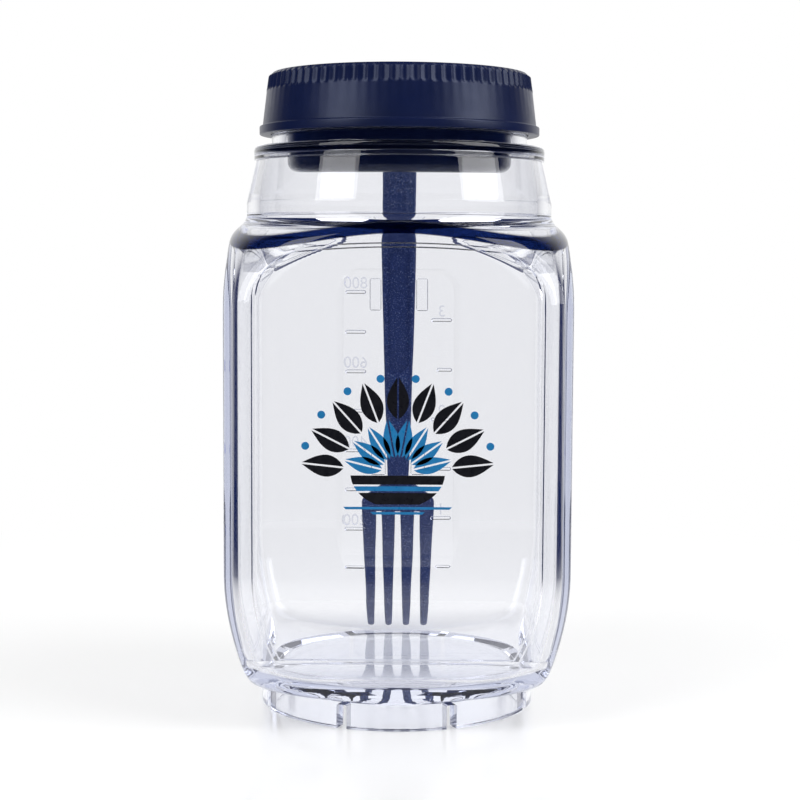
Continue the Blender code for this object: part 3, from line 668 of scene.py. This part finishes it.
def jar_rings():
    """Rings from the hollow under the floor, round the foot, up the outside and down the inside."""
    hollow = FOOT_RADIUS - FOOT_WALL
    foot = softened([
        (hollow - BEVEL, FOOT_HOLLOW_DEPTH),
        (hollow, 0.0),
        (FOOT_RADIUS, 0.0),
        (FOOT_RADIUS, FOOT_HEIGHT / 2)])
    rings = [rounded_square(height, reach, reach) for reach, height in foot]
    rings += [rounded_square(height, half, corner_radius(half, height)) for half, height in body_profile()]
    rings += [rounded_square(height, reach, reach) for reach, height in neck_outline()[1:]]
    return rings + inner_rings()


def box(builder, low, high, rounding):
    """A box with rounded edges between two corners, added to a mesh."""
    made = bmesh.ops.create_cube(builder, size=1.0)["verts"]
    for corner in made:
        corner.co = [low[axis] if corner.co[axis] < 0 else high[axis] for axis in range(3)]
    edges = {edge for corner in made for edge in corner.link_edges}
    bmesh.ops.bevel(builder, geom=list(edges), offset=rounding, segments=2, affect="EDGES", profile=0.5)


def foot_notches():
    notches = []
    for index in range(NOTCH_COUNT):
        notch = bmesh.new()
        box(notch, (FOOT_RADIUS - FOOT_WALL - OVERRUN, -NOTCH_WIDTH / 2, -OVERRUN),
            (FOOT_RADIUS + OVERRUN, NOTCH_WIDTH / 2, FOOT_HOLLOW_DEPTH), BEVEL)
        notches.append(turned(notch, 2 * pi * (index + 0.5) / NOTCH_COUNT))
    return joined(notches)


def round_corners(middle_a, middle_b, half_a, half_b, radius, steps, inset=0.0):
    """Points round a rectangle with round corners, whose arcs are drawn in by the inset."""
    points = []
    reach = radius - inset
    for quarter in range(4):
        toward = radians(90 * quarter + 45)
        corner_a = middle_a + math.copysign(half_a - radius, cos(toward))
        corner_b = middle_b + math.copysign(half_b - radius, sin(toward))
        for step in range(steps + 1):
            angle = radians(90 * (quarter + step / steps))
            points.append((corner_a + reach * cos(angle), corner_b + reach * sin(angle)))
    return points


def upright_plate(half_width, bottom, height, radius, near_y, far_y, draft=0.0):
    """A plate with round corners that stands across Y; the far face is smaller by the draft."""
    rings = []
    for y, inset in ((near_y, 0.0), (far_y, draft)):
        outline = round_corners(0.0, bottom + height / 2, half_width, height / 2, radius,
                                3 * ROUNDING_STEPS, inset)
        rings.append([Vector((x, y, z)) for x, z in outline])
    return loft(rings)


def recess_cutter():
    """The recess, whose edges rise in gentle slopes that spread outward."""
    spread = 2 * RECESS_DEPTH
    return upright_plate(RECESS_WIDTH / 2 + spread, RECESS_BOTTOM - spread, RECESS_HEIGHT + 2 * spread,
                         RECESS_CORNER_RADIUS + spread, BODY_HALF + RECESS_DEPTH, RECESS_FLOOR_Y,
                         spread + RECESS_DEPTH)


def inner_pad():
    """The recess keeps its wall: the same panel stands proud on the inside."""
    inner_face = BODY_HALF - WALL
    return upright_plate(RECESS_WIDTH / 2 + WALL / 2 + RECESS_DEPTH, RECESS_BOTTOM - WALL / 2,
                         RECESS_HEIGHT + WALL, RECESS_CORNER_RADIUS + WALL / 2,
                         inner_face + WALL / 4, inner_face - RECESS_DEPTH, 4 * RECESS_DEPTH)


def handle_half_width(height):
    """Half the fork's width at a height on its neck and handle."""
    share = clamped((height - FORK_NECK_TOP) / (FORK_END - FORK_NECK_TOP))
    return between(FORK_NECK_WIDTH, FORK_HANDLE_WIDTH, sin(share * pi / 2)) / 2


def back_face(height):
    """The back wall's outer face: the recess's floor, or the wall where it curves in below that."""
    profile = body_profile()
    for (low_half, low), (high_half, high) in zip(profile, profile[1:]):
        if low <= height <= high:
            return min(RECESS_FLOOR_Y, between(low_half, high_half, (height - low) / (high - low)))
    return RECESS_FLOOR_Y


def clip_posts():
    builder = bmesh.new()
    root = RECESS_FLOOR_Y - WALL / 4
    for bottom, width in ((UPPER_CLIP_BOTTOM, UPPER_CLIP_WIDTH), (LOWER_CLIP_BOTTOM, LOWER_CLIP_WIDTH)):
        gap = handle_half_width(bottom + CLIP_HEIGHT) + SEAT_GAP
        for side in (-1, 1):
            near, far = sorted((side * gap, side * (gap + width)))
            box(builder, (near, root, bottom), (far, CLIP_TIP_Y, bottom + CLIP_HEIGHT), CLIP_ROUNDING)
    return builder


def mark_places():
    """Middle, height, length and number of each bar of the scale; every second one has a number."""
    places = []
    for index in range(MILLILITRE_MARKS):
        number = str(100 * (index + 1)) if index % 2 else ""
        places.append((MARK_LENGTH / 2 - MARK_OUTER_X, MILLILITRE_FIRST + MILLILITRE_PITCH * index,
                       MARK_LENGTH, number))
    for index in range(CUP_MARKS):
        length = MARK_LENGTH if index % 2 else HALF_MARK_LENGTH
        number = str((index + 1) // 2) if index % 2 else ""
        places.append((MARK_OUTER_X - length / 2, CUP_MARK_FIRST + CUP_MARK_PITCH * index, length, number))
    return places


def scale_marks():
    """Two columns of raised bars with round ends."""
    bars = []
    for middle, height, length, _ in mark_places():
        face = back_face(height)
        bar = upright_plate(length / 2, height - MARK_THICKNESS / 2, MARK_THICKNESS,
                            MARK_THICKNESS / 2 - BEVEL / 8, face - MARK_RELIEF, face + MARK_RELIEF,
                            MARK_DRAFT)
        bmesh.ops.translate(bar, vec=(middle, 0.0, 0.0), verts=bar.verts)
        bars.append(bar)
    return joined(bars)


def thread_ridge(wall_radius, start_height, start_degrees, turns, outward):
    """A helical ridge with run-out ends, sunk a little into the wall that carries it."""
    steps = round(turns * ROUND_POINTS)
    run_out = ROUND_POINTS / 8
    rings = []
    for step in range(steps + 1):
        share = step / steps
        angle = radians(start_degrees) + 2 * pi * turns * share
        height = start_height + THREAD_LEAD * turns * share
        grown = min(step / run_out, (steps - step) / run_out, 1.0)
        crest = wall_radius + outward * ((THREAD_DEPTH + THREAD_EMBED / 2) * grown - THREAD_EMBED / 2)
        root = wall_radius - outward * THREAD_EMBED
        corners = [(root, -THREAD_ROOT_HEIGHT / 2), (crest, -THREAD_CREST_HEIGHT / 2),
                   (crest, THREAD_CREST_HEIGHT / 2), (root, THREAD_ROOT_HEIGHT / 2)]
        rings.append([polar(reach, angle, height + rise) for reach, rise in softened(corners, 3)])
    return loft(rings)


def build_jar(material):
    jar = add_object("jar_shell", loft(jar_rings()), material)
    ridge = thread_ridge(FINISH_RADIUS, JAR_THREAD_START, 0.0, JAR_THREAD_TURNS, 1)
    merge(jar, joined([inner_pad(), ridge]), "UNION")
    merge(jar, joined([foot_notches(), sunk_panels()]), "DIFFERENCE")
    merge(jar, recess_cutter(), "DIFFERENCE")
    merge(jar, joined([clip_posts(), scale_marks()]), "UNION")
    # Large flat faces keep their own direction, and the small faces beside them take up the turn
    modifier = jar.modifiers.new("flats", "WEIGHTED_NORMAL")
    modifier.weight = FLAT_WEIGHT
    modifier.keep_sharp = True
    dress(jar, "jar", "clear_plastic", "jar_body")


def build_digits(material):
    """Plain numbers over the scale's full marks, raised on the back and read from behind."""
    upright = Matrix.Rotation(radians(180), 4, "Z") @ Matrix.Rotation(radians(90), 4, "X")
    numbered = [place for place in mark_places() if place[-1]]
    for index, (x, height, _, number) in enumerate(numbered):
        text = bpy.data.curves.new("scale_digits", "FONT")
        text.body = number
        text.size = DIGIT_SIZE
        text.align_x = "CENTER"
        text.extrude = MARK_RELIEF
        item = put("scale_digits", text)
        bpy.context.view_layer.update()
        mesh = bpy.data.meshes.new_from_object(item)
        bpy.data.objects.remove(item)
        place = Vector((x, AXIS_Y + RECESS_FLOOR_Y + SEAT_GAP / 10, height + DIGIT_LIFT))
        mesh.transform(Matrix.Translation(place) @ upright)
        mesh.materials.append(material)
        dress(put(f"scale_number_{index}", mesh), "jar", "clear_plastic")


def ribbed_ring(height, radius, depth):
    """A ring with round ribs, for the cap's grip; depth 0 gives a plain circle."""
    count = RIB_COUNT * RIB_POINTS
    points = []
    for step in range(count):
        angle = 2 * pi * step / count
        groove = (0.5 - 0.5 * cos(RIB_COUNT * angle)) ** RIB_POWER
        points.append(polar(radius - depth * groove, angle, height))
    return points


def cap_rings():
    """Rings from the middle of the top, down the outside and up the inside."""
    band_top = CAP_TOP - CAP_EDGE_DROP
    band_bottom = band_top - CAP_BAND_HEIGHT
    top_radius = CAP_BAND_RADIUS - CAP_EDGE_INSET
    flange_top = CAP_BOTTOM + CAP_FLANGE_HEIGHT
    rows = [
        (top_radius / 2, CAP_TOP, 0.0),
        (top_radius - BEVEL, CAP_TOP, 0.0),
        (top_radius, CAP_TOP - BEVEL / 8, 0.0),
        (CAP_BAND_RADIUS - BEVEL, band_top + BEVEL / 2, RIB_DEPTH / 4),
        (CAP_BAND_RADIUS, band_top, RIB_DEPTH)]
    for share in shares(ROUNDING_STEPS, 1)[:-1]:
        reach = between(CAP_BAND_RADIUS, CAP_HEAD_RADIUS, share)
        rows.append((reach, band_top - CAP_BAND_HEIGHT * share, RIB_DEPTH))
    rows.append((CAP_HEAD_RADIUS, band_bottom + BEVEL, RIB_DEPTH))
    rows.append((CAP_HEAD_RADIUS, band_bottom, RIB_DEPTH / 4))
    skirt = softened([
        (CAP_HEAD_RADIUS, band_bottom - BEVEL),
        (CAP_FOOT_RADIUS, flange_top, 2 * BEVEL),
        (CAP_FLANGE_RADIUS, flange_top),
        (CAP_FLANGE_RADIUS, CAP_BOTTOM),
        (CAP_BORE_RADIUS, CAP_BOTTOM),
        (CAP_BORE_RADIUS, RIM_TOP - 2 * BEVEL, BEVEL / 2),
        (CAP_POCKET_RADIUS, RIM_TOP - BEVEL, BEVEL / 2),
        (CAP_POCKET_RADIUS, CAP_CEILING),
        (CAP_POCKET_RADIUS / 2, CAP_CEILING)])
    rows += [(reach, height, 0.0) for reach, height in skirt]
    return [ribbed_ring(height, reach, depth) for reach, height, depth in rows]


def build_cap(material):
    dress(add_object("cap_shell", loft(cap_rings()), material), "cap", "navy_plastic", "screw_cap")
    ridge = thread_ridge(CAP_BORE_RADIUS, JAR_THREAD_START, 180.0, CAP_THREAD_TURNS, -1)
    dress(add_object("cap_thread", ridge, material), "cap", "navy_plastic")


def circles(outline):
    """Level circles from (radius, height) points."""
    turns = [2 * pi * step / ROUND_POINTS for step in range(ROUND_POINTS)]
    return [[polar(radius, turn, height) for turn in turns] for radius, height in outline]


def build_ring(name, inner, outer, bottom, thickness, body, node, material):
    """A flat silicone ring with soft edges."""
    top = bottom + thickness
    rounding = thickness / 4
    outline = softened([
        ((inner + outer) / 2, bottom),
        (outer, bottom, rounding),
        (outer, top, rounding),
        (inner, top, rounding),
        (inner, bottom, rounding),
        ((inner + outer) / 2, bottom)])[:-1]
    ring = add_object(name, loft(circles(outline), closed=True), material)
    dress(ring, body, "silicone", node)


def build_cup(material):
    bottom = FLANGE_TOP - CUP_DEPTH
    inner_radius = CUP_RADIUS - CUP_WALL
    centre = (CUP_RADIUS - CUP_CORNER_RADIUS, bottom + CUP_CORNER_RADIUS)
    outside = arc(*centre, CUP_CORNER_RADIUS, -90, 0, CUP_OUTSIDE_STEPS)
    upper = softened([
        (CUP_RADIUS, FLANGE_BOTTOM - BEVEL),
        (CUP_RADIUS, FLANGE_BOTTOM, BEVEL / 2),
        (CUP_FLANGE_RADIUS, FLANGE_BOTTOM),
        (CUP_FLANGE_RADIUS, FLANGE_TOP),
        (inner_radius, FLANGE_TOP),
        (inner_radius, centre[1] + BEVEL)])
    inside = arc(*centre, CUP_CORNER_RADIUS - CUP_WALL, 0, -90, CUP_INSIDE_STEPS)
    outline = [(centre[0] / 2, bottom)] + outside + upper + inside
    cup = add_object("cup_shell", loft(circles(outline)), material)
    dress(cup, "cup", "dark_navy_plastic", "dressing_cup")


def bowl_offset(height):
    """How far the fork's head bows away from the jar at a height."""
    return FORK_BOWL_DEPTH * sin(pi * clamped((height - FORK_TIP_HEIGHT) / BOWL_LENGTH)) ** 2


def bar_ring(height, half_width, thickness=FORK_THICKNESS, centre_x=0.0):
    """One level cut through the fork: a bar with round edges."""
    middle_y = (FORK_INNER_Y + FORK_OUTER_Y) / 2 + bowl_offset(height)
    radius = min(FORK_EDGE_ROUNDING, THICKNESS_ROUND_SHARE * thickness, WIDTH_ROUND_SHARE * half_width)
    outline = round_corners(centre_x, middle_y, half_width, thickness / 2, radius, ROUNDING_STEPS)
    return [Vector((x, y, height)) for x, y in outline]


def fork_body():
    """The fork's handle, neck and the solid part of its head, from the tines' roots up."""
    straight_end = FORK_END - FORK_END_ROUNDING
    rings = []
    for share in shares(CURVE_STEPS):
        flare = max(share - FORK_HEAD_FULL_SHARE, 0.0) / (1 - FORK_HEAD_FULL_SHARE)
        narrowed = (1 - cos(pi * flare)) / 2
        half = between(FORK_HEAD_WIDTH, FORK_NECK_WIDTH, narrowed) / 2
        rings.append(bar_ring(between(FORK_TINE_ROOT, FORK_NECK_TOP, share), half))
    for step in range(1, 2 * CURVE_STEPS):
        height = FORK_NECK_TOP + (straight_end - FORK_NECK_TOP) * step / (2 * CURVE_STEPS)
        rings.append(bar_ring(height, handle_half_width(height)))
    for step in range(2 * ROUNDING_STEPS + 1):
        angle = radians(FORK_END_DEGREES) * step / (2 * ROUNDING_STEPS)
        height = straight_end + FORK_END_ROUNDING * sin(angle)
        half = handle_half_width(height) - FORK_END_ROUNDING * (1 - cos(angle))
        rings.append(bar_ring(height, half))
    return loft(rings)


def fork_tines():
    """Four tapered tines with rounded tips, sunk into the head."""
    tines = []
    gaps = FORK_TINE_COUNT - 1
    root_width = (FORK_HEAD_WIDTH - gaps * FORK_TINE_GAP) / FORK_TINE_COUNT
    root_pitch = root_width + FORK_TINE_GAP
    tip_pitch = (FORK_TIP_SPAN - FORK_TIP_WIDTH) / gaps
    for index in range(FORK_TINE_COUNT):
        place = index - gaps / 2
        rings = []
        for step in shares(CURVE_STEPS):
            share = step ** TINE_CROWDING_POWER
            height = FORK_TIP_HEIGHT + FORK_TINE_LENGTH * share
            width = between(FORK_TIP_WIDTH, root_width, share)
            thickness = between(FORK_TIP_THICKNESS, FORK_THICKNESS, share)
            centre = place * between(tip_pitch, root_pitch, share)
            point = min((height - FORK_TIP_HEIGHT) / FORK_TIP_WIDTH, 1.0)
            roundness = sqrt(1 - (1 - point) ** 2) * (1 - TINE_BLUNT_SHARE) + TINE_BLUNT_SHARE
            rings.append(bar_ring(height, width / 2 * roundness, thickness * roundness, centre))
        rings.append(bar_ring(FORK_TINE_ROOT + FORK_THICKNESS / 2, root_width / 2 - BEVEL,
                              FORK_THICKNESS - BEVEL, place * root_pitch))
        tines.append(loft(rings))
    return joined(tines)


def build_fork(material):
    fork = add_object("fork_bar", fork_body(), material)
    merge(fork, fork_tines(), "UNION")
    panel = upright_plate(FORK_PANEL_WIDTH / 2, FORK_PANEL_BOTTOM, FORK_PANEL_LENGTH,
                          FORK_PANEL_WIDTH / 2 - BEVEL, FORK_INNER_Y - OVERRUN,
                          FORK_INNER_Y + FORK_PANEL_DEPTH)
    merge(fork, panel, "DIFFERENCE")
    dress(fork, "fork", "fork_plastic", "fork")


def flat_shape(builder, outline):
    """A thin printed shape on the front face, from an outline of (x, height) points."""
    face_y = -BODY_HALF + 2 * PANEL_STEP - PRINT_GAP
    front = [builder.verts.new((x, face_y - PRINT_THICKNESS, z)) for x, z in outline]
    back = [builder.verts.new((x, face_y, z)) for x, z in outline]
    builder.faces.new(front)
    builder.faces.new(back[::-1])
    for i in range(len(front)):
        j = (i + 1) % len(front)
        builder.faces.new((front[j], front[i], back[i], back[j]))


def half_leaf(degrees, root, length, width, side):
    """One half of a pointed leaf that grows outward from the bowl; the midrib stays bare."""
    along = Vector((cos(radians(degrees)), sin(radians(degrees))))
    across = Vector((-along.y, along.x)) * side
    midrib = []
    edge = []
    for share in shares(LEAF_STEPS):
        spine = Vector((0.0, FAN_HEIGHT)) + along * (root + length * share)
        belly = sin(pi * share ** LEAF_BELLY_POWER) * width / 2
        midrib.append(spine + across * MIDRIB_WIDTH / 2)
        edge.append(spine + across * (belly + MIDRIB_WIDTH / 2))
    return midrib + edge[-2:0:-1]


def bowl_outline(top, bottom):
    """A slice of a round bowl between two heights below its rim."""
    right = []
    for step in range(LEAF_STEPS + 1):
        down = top + (bottom - top) * step / LEAF_STEPS
        share = down / (BOWL_DEPTH + BERRY_RADIUS)
        right.append((BOWL_RADIUS * sqrt(1 - share ** 2), FAN_HEIGHT - down))
    return right + [(-x, z) for x, z in reversed(right)]


def disc_outline(degrees, reach, radius):
    middle_x = reach * cos(radians(degrees))
    middle_z = FAN_HEIGHT + reach * sin(radians(degrees))
    turns = [2 * pi * step / (2 * LEAF_STEPS) for step in range(2 * LEAF_STEPS)]
    return [(middle_x + radius * cos(turn), middle_z + radius * sin(turn)) for turn in turns]


def add_leaves(builder, count, first_degrees, root, length, width):
    """A fan of leaves, even on both sides of the upright."""
    for index in range(count):
        degrees = first_degrees + (180 - 2 * first_degrees) * index / (count - 1)
        for side in (-1, 1):
            flat_shape(builder, half_leaf(degrees, root, length, width, side))


def build_print(dark, blue):
    """A plain ornament of leaves that fan out of a bowl, dark and blue on the clear front."""
    dark_shapes = bmesh.new()
    blue_shapes = bmesh.new()
    add_leaves(dark_shapes, *OUTER_FAN)
    add_leaves(blue_shapes, *INNER_FAN)
    count, first_degrees, root, length, _ = OUTER_FAN
    pitch = (180 - 2 * first_degrees) / (count - 1)
    for index in range(count - 1):
        degrees = first_degrees + pitch * (index + 0.5)
        flat_shape(blue_shapes, disc_outline(degrees, root + length, BERRY_RADIUS))
    stripe_bottom = BOWL_STRIPE_DROP + BOWL_STRIPE_WIDTH
    flat_shape(dark_shapes, bowl_outline(BOWL_RIM_DROP, BOWL_STRIPE_DROP - MIDRIB_WIDTH))
    flat_shape(blue_shapes, bowl_outline(BOWL_STRIPE_DROP, stripe_bottom))
    flat_shape(dark_shapes, bowl_outline(stripe_bottom + MIDRIB_WIDTH, BOWL_DEPTH))
    for level, half in enumerate((LINE_HALF_LENGTH, LINE_HALF_LENGTH / 2)):
        top = FAN_HEIGHT - BOWL_DEPTH - LINE_WIDTH - 2 * LINE_WIDTH * level
        flat_shape(blue_shapes, [(-half, top), (-half + LINE_WIDTH, top - LINE_WIDTH),
                                 (half - LINE_WIDTH, top - LINE_WIDTH), (half, top)])
    dress(add_object("print_dark", dark_shapes, dark), "jar", "clear_plastic")
    dress(add_object("print_blue", blue_shapes, blue), "jar", "clear_plastic")


def new_material(name):
    """A material, its node tree and its main shader."""
    material = bpy.data.materials.new(name)
    material.use_nodes = True
    return material, material.node_tree, material.node_tree.nodes["Principled BSDF"]


def fill(tree, node, inputs):
    """Give a node's inputs their values: another node's output, a number or a colour."""
    for name, value in inputs.items():
        if isinstance(value, bpy.types.NodeSocket):
            tree.links.new(value, node.inputs[name])
        else:
            node.inputs[name].default_value = value


def add_node(tree, kind, output, inputs=None, **settings):
    """One output of a new node with its settings and inputs filled in."""
    node = tree.nodes.new("ShaderNode" + kind)
    for name, value in settings.items():
        setattr(node, name, value)
    fill(tree, node, inputs or {})
    return node.outputs[output]


def calculate(tree, operation, first, second=0.0):
    """One operation on two values, each a socket or a number."""
    return add_node(tree, "Math", "Value", {0: first, 1: second}, operation=operation)


def fade(tree, value, start, end):
    """Nothing up to the start, one from the end on, smooth between them."""
    return add_node(tree, "MapRange", "Result", {"Value": value, "From Min": start, "From Max": end},
                    interpolation_type="SMOOTHSTEP")


def noise(tree, scale, detail, roughness=0.5):
    """Noise in the object's own space, at a scale in cycles per metre."""
    return add_node(tree, "TexNoise", "Fac", {"Scale": scale, "Detail": detail, "Roughness": roughness,
                                              "Vector": add_node(tree, "TexCoord", "Object")})


def ramp(tree, source, stops):
    """Colours along a value, from (place, colour) stops."""
    node = tree.nodes.new("ShaderNodeValToRGB")
    elements = node.color_ramp.elements
    while len(elements) < len(stops):
        elements.new(0.5)
    for element, (place, color) in zip(elements, stops):
        element.position = place
        element.color = (*color, 1.0)
    fill(tree, node, {"Fac": source})
    return node.outputs["Color"]


def bump(tree, shader, height, strength, distance):
    relief = {"Height": height, "Strength": strength, "Distance": distance}
    fill(tree, shader, {"Normal": add_node(tree, "Bump", "Normal", relief)})


def grey_range(tree, source, low, high):
    return ramp(tree, source, [(0.3, (low, low, low)), (0.7, (high, high, high))])


def show_mix(tree, factor, first, second):
    """The surface shows the first shader, and the second one as far as the factor says."""
    mixed = add_node(tree, "MixShader", "Shader", {"Fac": factor, 1: first, 2: second})
    fill(tree, tree.nodes["Material Output"], {"Surface": mixed})


def painted_reflection_band(tree):
    """How deep the painted reflection of the navy cap is: a soft dark blue band round the shoulder that
    dips towards the corners.
    """
    split = tree.nodes.new("ShaderNodeSeparateXYZ")
    fill(tree, split, {"Vector": add_node(tree, "TexCoord", "Object")})
    x, y, height = split.outputs
    y = calculate(tree, "SUBTRACT", y, AXIS_Y)
    squares = calculate(tree, "ADD", calculate(tree, "MULTIPLY", x, x), calculate(tree, "MULTIPLY", y, y))
    beyond = calculate(tree, "SUBTRACT", calculate(tree, "SQRT", squares), COLLAR_RADIUS)
    level = calculate(tree, "ADD", height, calculate(tree, "MULTIPLY", beyond, REFLECTION_BAND_DIP_SHARE))
    ring = calculate(tree, "SUBTRACT", fade(tree, level, REFLECTION_BAND_BOTTOM - REFLECTION_BAND_SOFTNESS, REFLECTION_BAND_BOTTOM),
                     fade(tree, level, REFLECTION_BAND_TOP, REFLECTION_BAND_TOP + REFLECTION_BAND_SOFTNESS))
    return calculate(tree, "MULTIPLY", ring, fade(tree, beyond, -REFLECTION_BAND_SOFTNESS, 0.0))


def clear_material():
    """Clear copolyester: glassy, a trace of blue in its depth, with faint waves from the mould, and a
    painted reflection of the navy cap as a dark blue band round the shoulder.
    """
    material, tree, shader = new_material("clear_copolyester")
    # The base colour runs from the clear tint to the painted reflection of the cap in the shoulder band
    tone = ramp(tree, painted_reflection_band(tree), [(0.0, CLEAR_COLOUR), (1.0, PAINTED_REFLECTION_COLOUR)])
    haze = grey_range(tree, noise(tree, *HAZE_NOISE), *HAZE_ROUGHNESS)
    fill(tree, shader, {"Base Color": tone, "Transmission Weight": 1.0, "IOR": CLEAR_INDEX,
                        "Roughness": haze})
    bump(tree, shader, noise(tree, *WAVE_NOISE), WAVE_STRENGTH, WAVE_RELIEF)
    spent = calculate(tree, "GREATER_THAN", add_node(tree, "LightPath", "Ray Depth"), TRAPPED_BOUNCES)
    outlet = add_node(tree, "BsdfTransparent", "BSDF", {"Color": TRAPPED_COLOUR})
    show_mix(tree, spent, shader.outputs["BSDF"], outlet)
    depth = add_node(tree, "VolumeAbsorption", "Volume", {"Color": DEPTH_COLOUR, "Density": DEPTH_DENSITY})
    fill(tree, tree.nodes["Material Output"], {"Volume": depth})
    return material


def finish_material(name, tones, tone_noise, roughness, rough_noise, grain_noise=None, grain=None,
                    others=None):
    """A material whose tone and roughness vary a little, with a fine grain where one is given."""
    material, tree, shader = new_material(name)
    fill(tree, shader, {"Base Color": ramp(tree, noise(tree, *tone_noise), tones),
                        "Roughness": grey_range(tree, noise(tree, *rough_noise), *roughness)})
    fill(tree, shader, others or {})
    if grain:
        bump(tree, shader, noise(tree, *grain_noise), *grain)
    return material


def seen(tree):
    """One for rays that see a thing directly, in a gloss or through clear plastic, else zero."""
    path = tree.nodes.new("ShaderNodeLightPath").outputs
    glossy = calculate(tree, "MAXIMUM", path["Is Camera Ray"], path["Is Glossy Ray"])
    return calculate(tree, "MAXIMUM", glossy, path["Is Transmission Ray"])


def studio_colour(tree, direction):
    """White straight on and in the rear half of a gloss, deep blue in the rest of a gloss."""
    straight = calculate(tree, "LESS_THAN", add_node(tree, "LightPath", "Glossy Depth"), 0.5)
    rear = fade(tree, add_node(tree, "SeparateXYZ", "Y", {"Vector": direction}), REAR_START, REAR_END)
    white = calculate(tree, "MAXIMUM", straight, rear)
    return ramp(tree, white, [(0.0, DARK_STUDIO), (1.0, WHITE)])


def build_floor():
    """A white table: it takes the object's shadow and shows white where nothing shades it."""
    builder = bmesh.new()
    bmesh.ops.create_grid(builder, x_segments=1, y_segments=1, size=TABLE_HALF)
    mesh = to_mesh("table_top", builder)
    floor = put("table_top", mesh)
    floor.location = (0.0, 0.0, -SEAT_GAP / 6)
    material, tree, shader = new_material("white_table")
    place = add_node(tree, "TexCoord", "Object")
    heading = add_node(tree, "VectorMath", "Vector", {0: place}, operation="NORMALIZE")
    reach = add_node(tree, "VectorMath", "Value", {0: place}, operation="LENGTH")
    direct = seen(tree)
    fill(tree, shader, {"Base Color": TABLE_COLOUR, "Roughness": TABLE_ROUGHNESS,
                        "Emission Color": (*WHITE, 1.0),
                        "Emission Strength": calculate(tree, "MULTIPLY", direct, TABLE_GLOW)})
    studio = add_node(tree, "Emission", "Emission", {"Color": studio_colour(tree, heading)})
    far = fade(tree, reach, TABLE_NEAR, TABLE_FAR)
    show_mix(tree, calculate(tree, "MULTIPLY", far, direct), shader.outputs["BSDF"], studio)
    mesh.materials.append(material)


def build_world():
    """The studio where rays see it, and an even, dimmer white room for everything else."""
    world = bpy.data.worlds.new("white_room")
    world.use_nodes = True
    bpy.context.scene.world = world
    tree = world.node_tree
    studio = studio_colour(tree, add_node(tree, "TexCoord", "Generated"))
    room = add_node(tree, "Mix", "Result", {"Factor": seen(tree), "A": ROOM_COLOUR, "B": studio},
                    data_type="RGBA")
    fill(tree, tree.nodes["Background"], {"Color": room, "Strength": 1.0})


def add_softbox(name, degrees, width, power):
    """A soft lamp beside the camera that faces the jar; 0 degrees is the camera's own direction."""
    lamp = bpy.data.lights.new(name, "AREA")
    lamp.shape = "RECTANGLE"
    lamp.size = width
    lamp.size_y = LAMP_LENGTH
    lamp.energy = power
    item = put(name, lamp)
    turn = radians(degrees)
    item.location = (LAMP_DISTANCE * sin(turn), -LAMP_DISTANCE * cos(turn), LAMP_HEIGHT)
    target = Vector((0.0, 0.0, LAMP_TARGET_HEIGHT))
    item.rotation_euler = (target - item.location).to_track_quat("-Z", "Y").to_euler()
    item.visible_camera = False


def build_camera():
    data = bpy.data.cameras.new("camera")
    data.lens = CAMERA_LENS
    data.sensor_width = CAMERA_SENSOR
    camera = put("camera", data)
    camera.location = (CAMERA_SIDE, AXIS_Y - CAMERA_DISTANCE, CAMERA_HEIGHT)
    tilt = Matrix.Rotation(radians(90 - CAMERA_PITCH_DEGREES), 4, "X")
    roll = Matrix.Rotation(radians(CAMERA_ROLL_DEGREES), 4, "Z")
    camera.rotation_euler = (tilt @ roll).to_euler()
    bpy.context.scene.camera = camera


def main():
    clear = clear_material()
    finishes = {name: finish_material(name, **finish) for name, finish in FINISHES.items()}
    silicone = finishes["pale_silicone"]
    build_jar(clear)
    build_digits(clear)
    build_cap(finishes["navy_satin"])
    build_cup(finishes["dark_navy"])
    build_ring("gasket_ring", GASKET_BORE_RADIUS, CUP_FLANGE_RADIUS, GASKET_BOTTOM, GASKET_THICKNESS,
               "gasket", "cap_gasket", silicone)
    build_ring("seal_ring", CUP_RADIUS + SEAT_GAP, CUP_FLANGE_RADIUS, SEAL_BOTTOM, SEAL_THICKNESS,
               "cup", "cup_seal", silicone)
    build_fork(finishes["speckled_navy"])
    build_print(finishes["dark_ink"], finishes["blue_ink"])
    build_floor()
    build_world()
    for name, settings in SOFTBOXES.items():
        add_softbox(name, *settings)
    build_camera()
    bpy.context.scene.view_settings.view_transform = "Standard"


main()
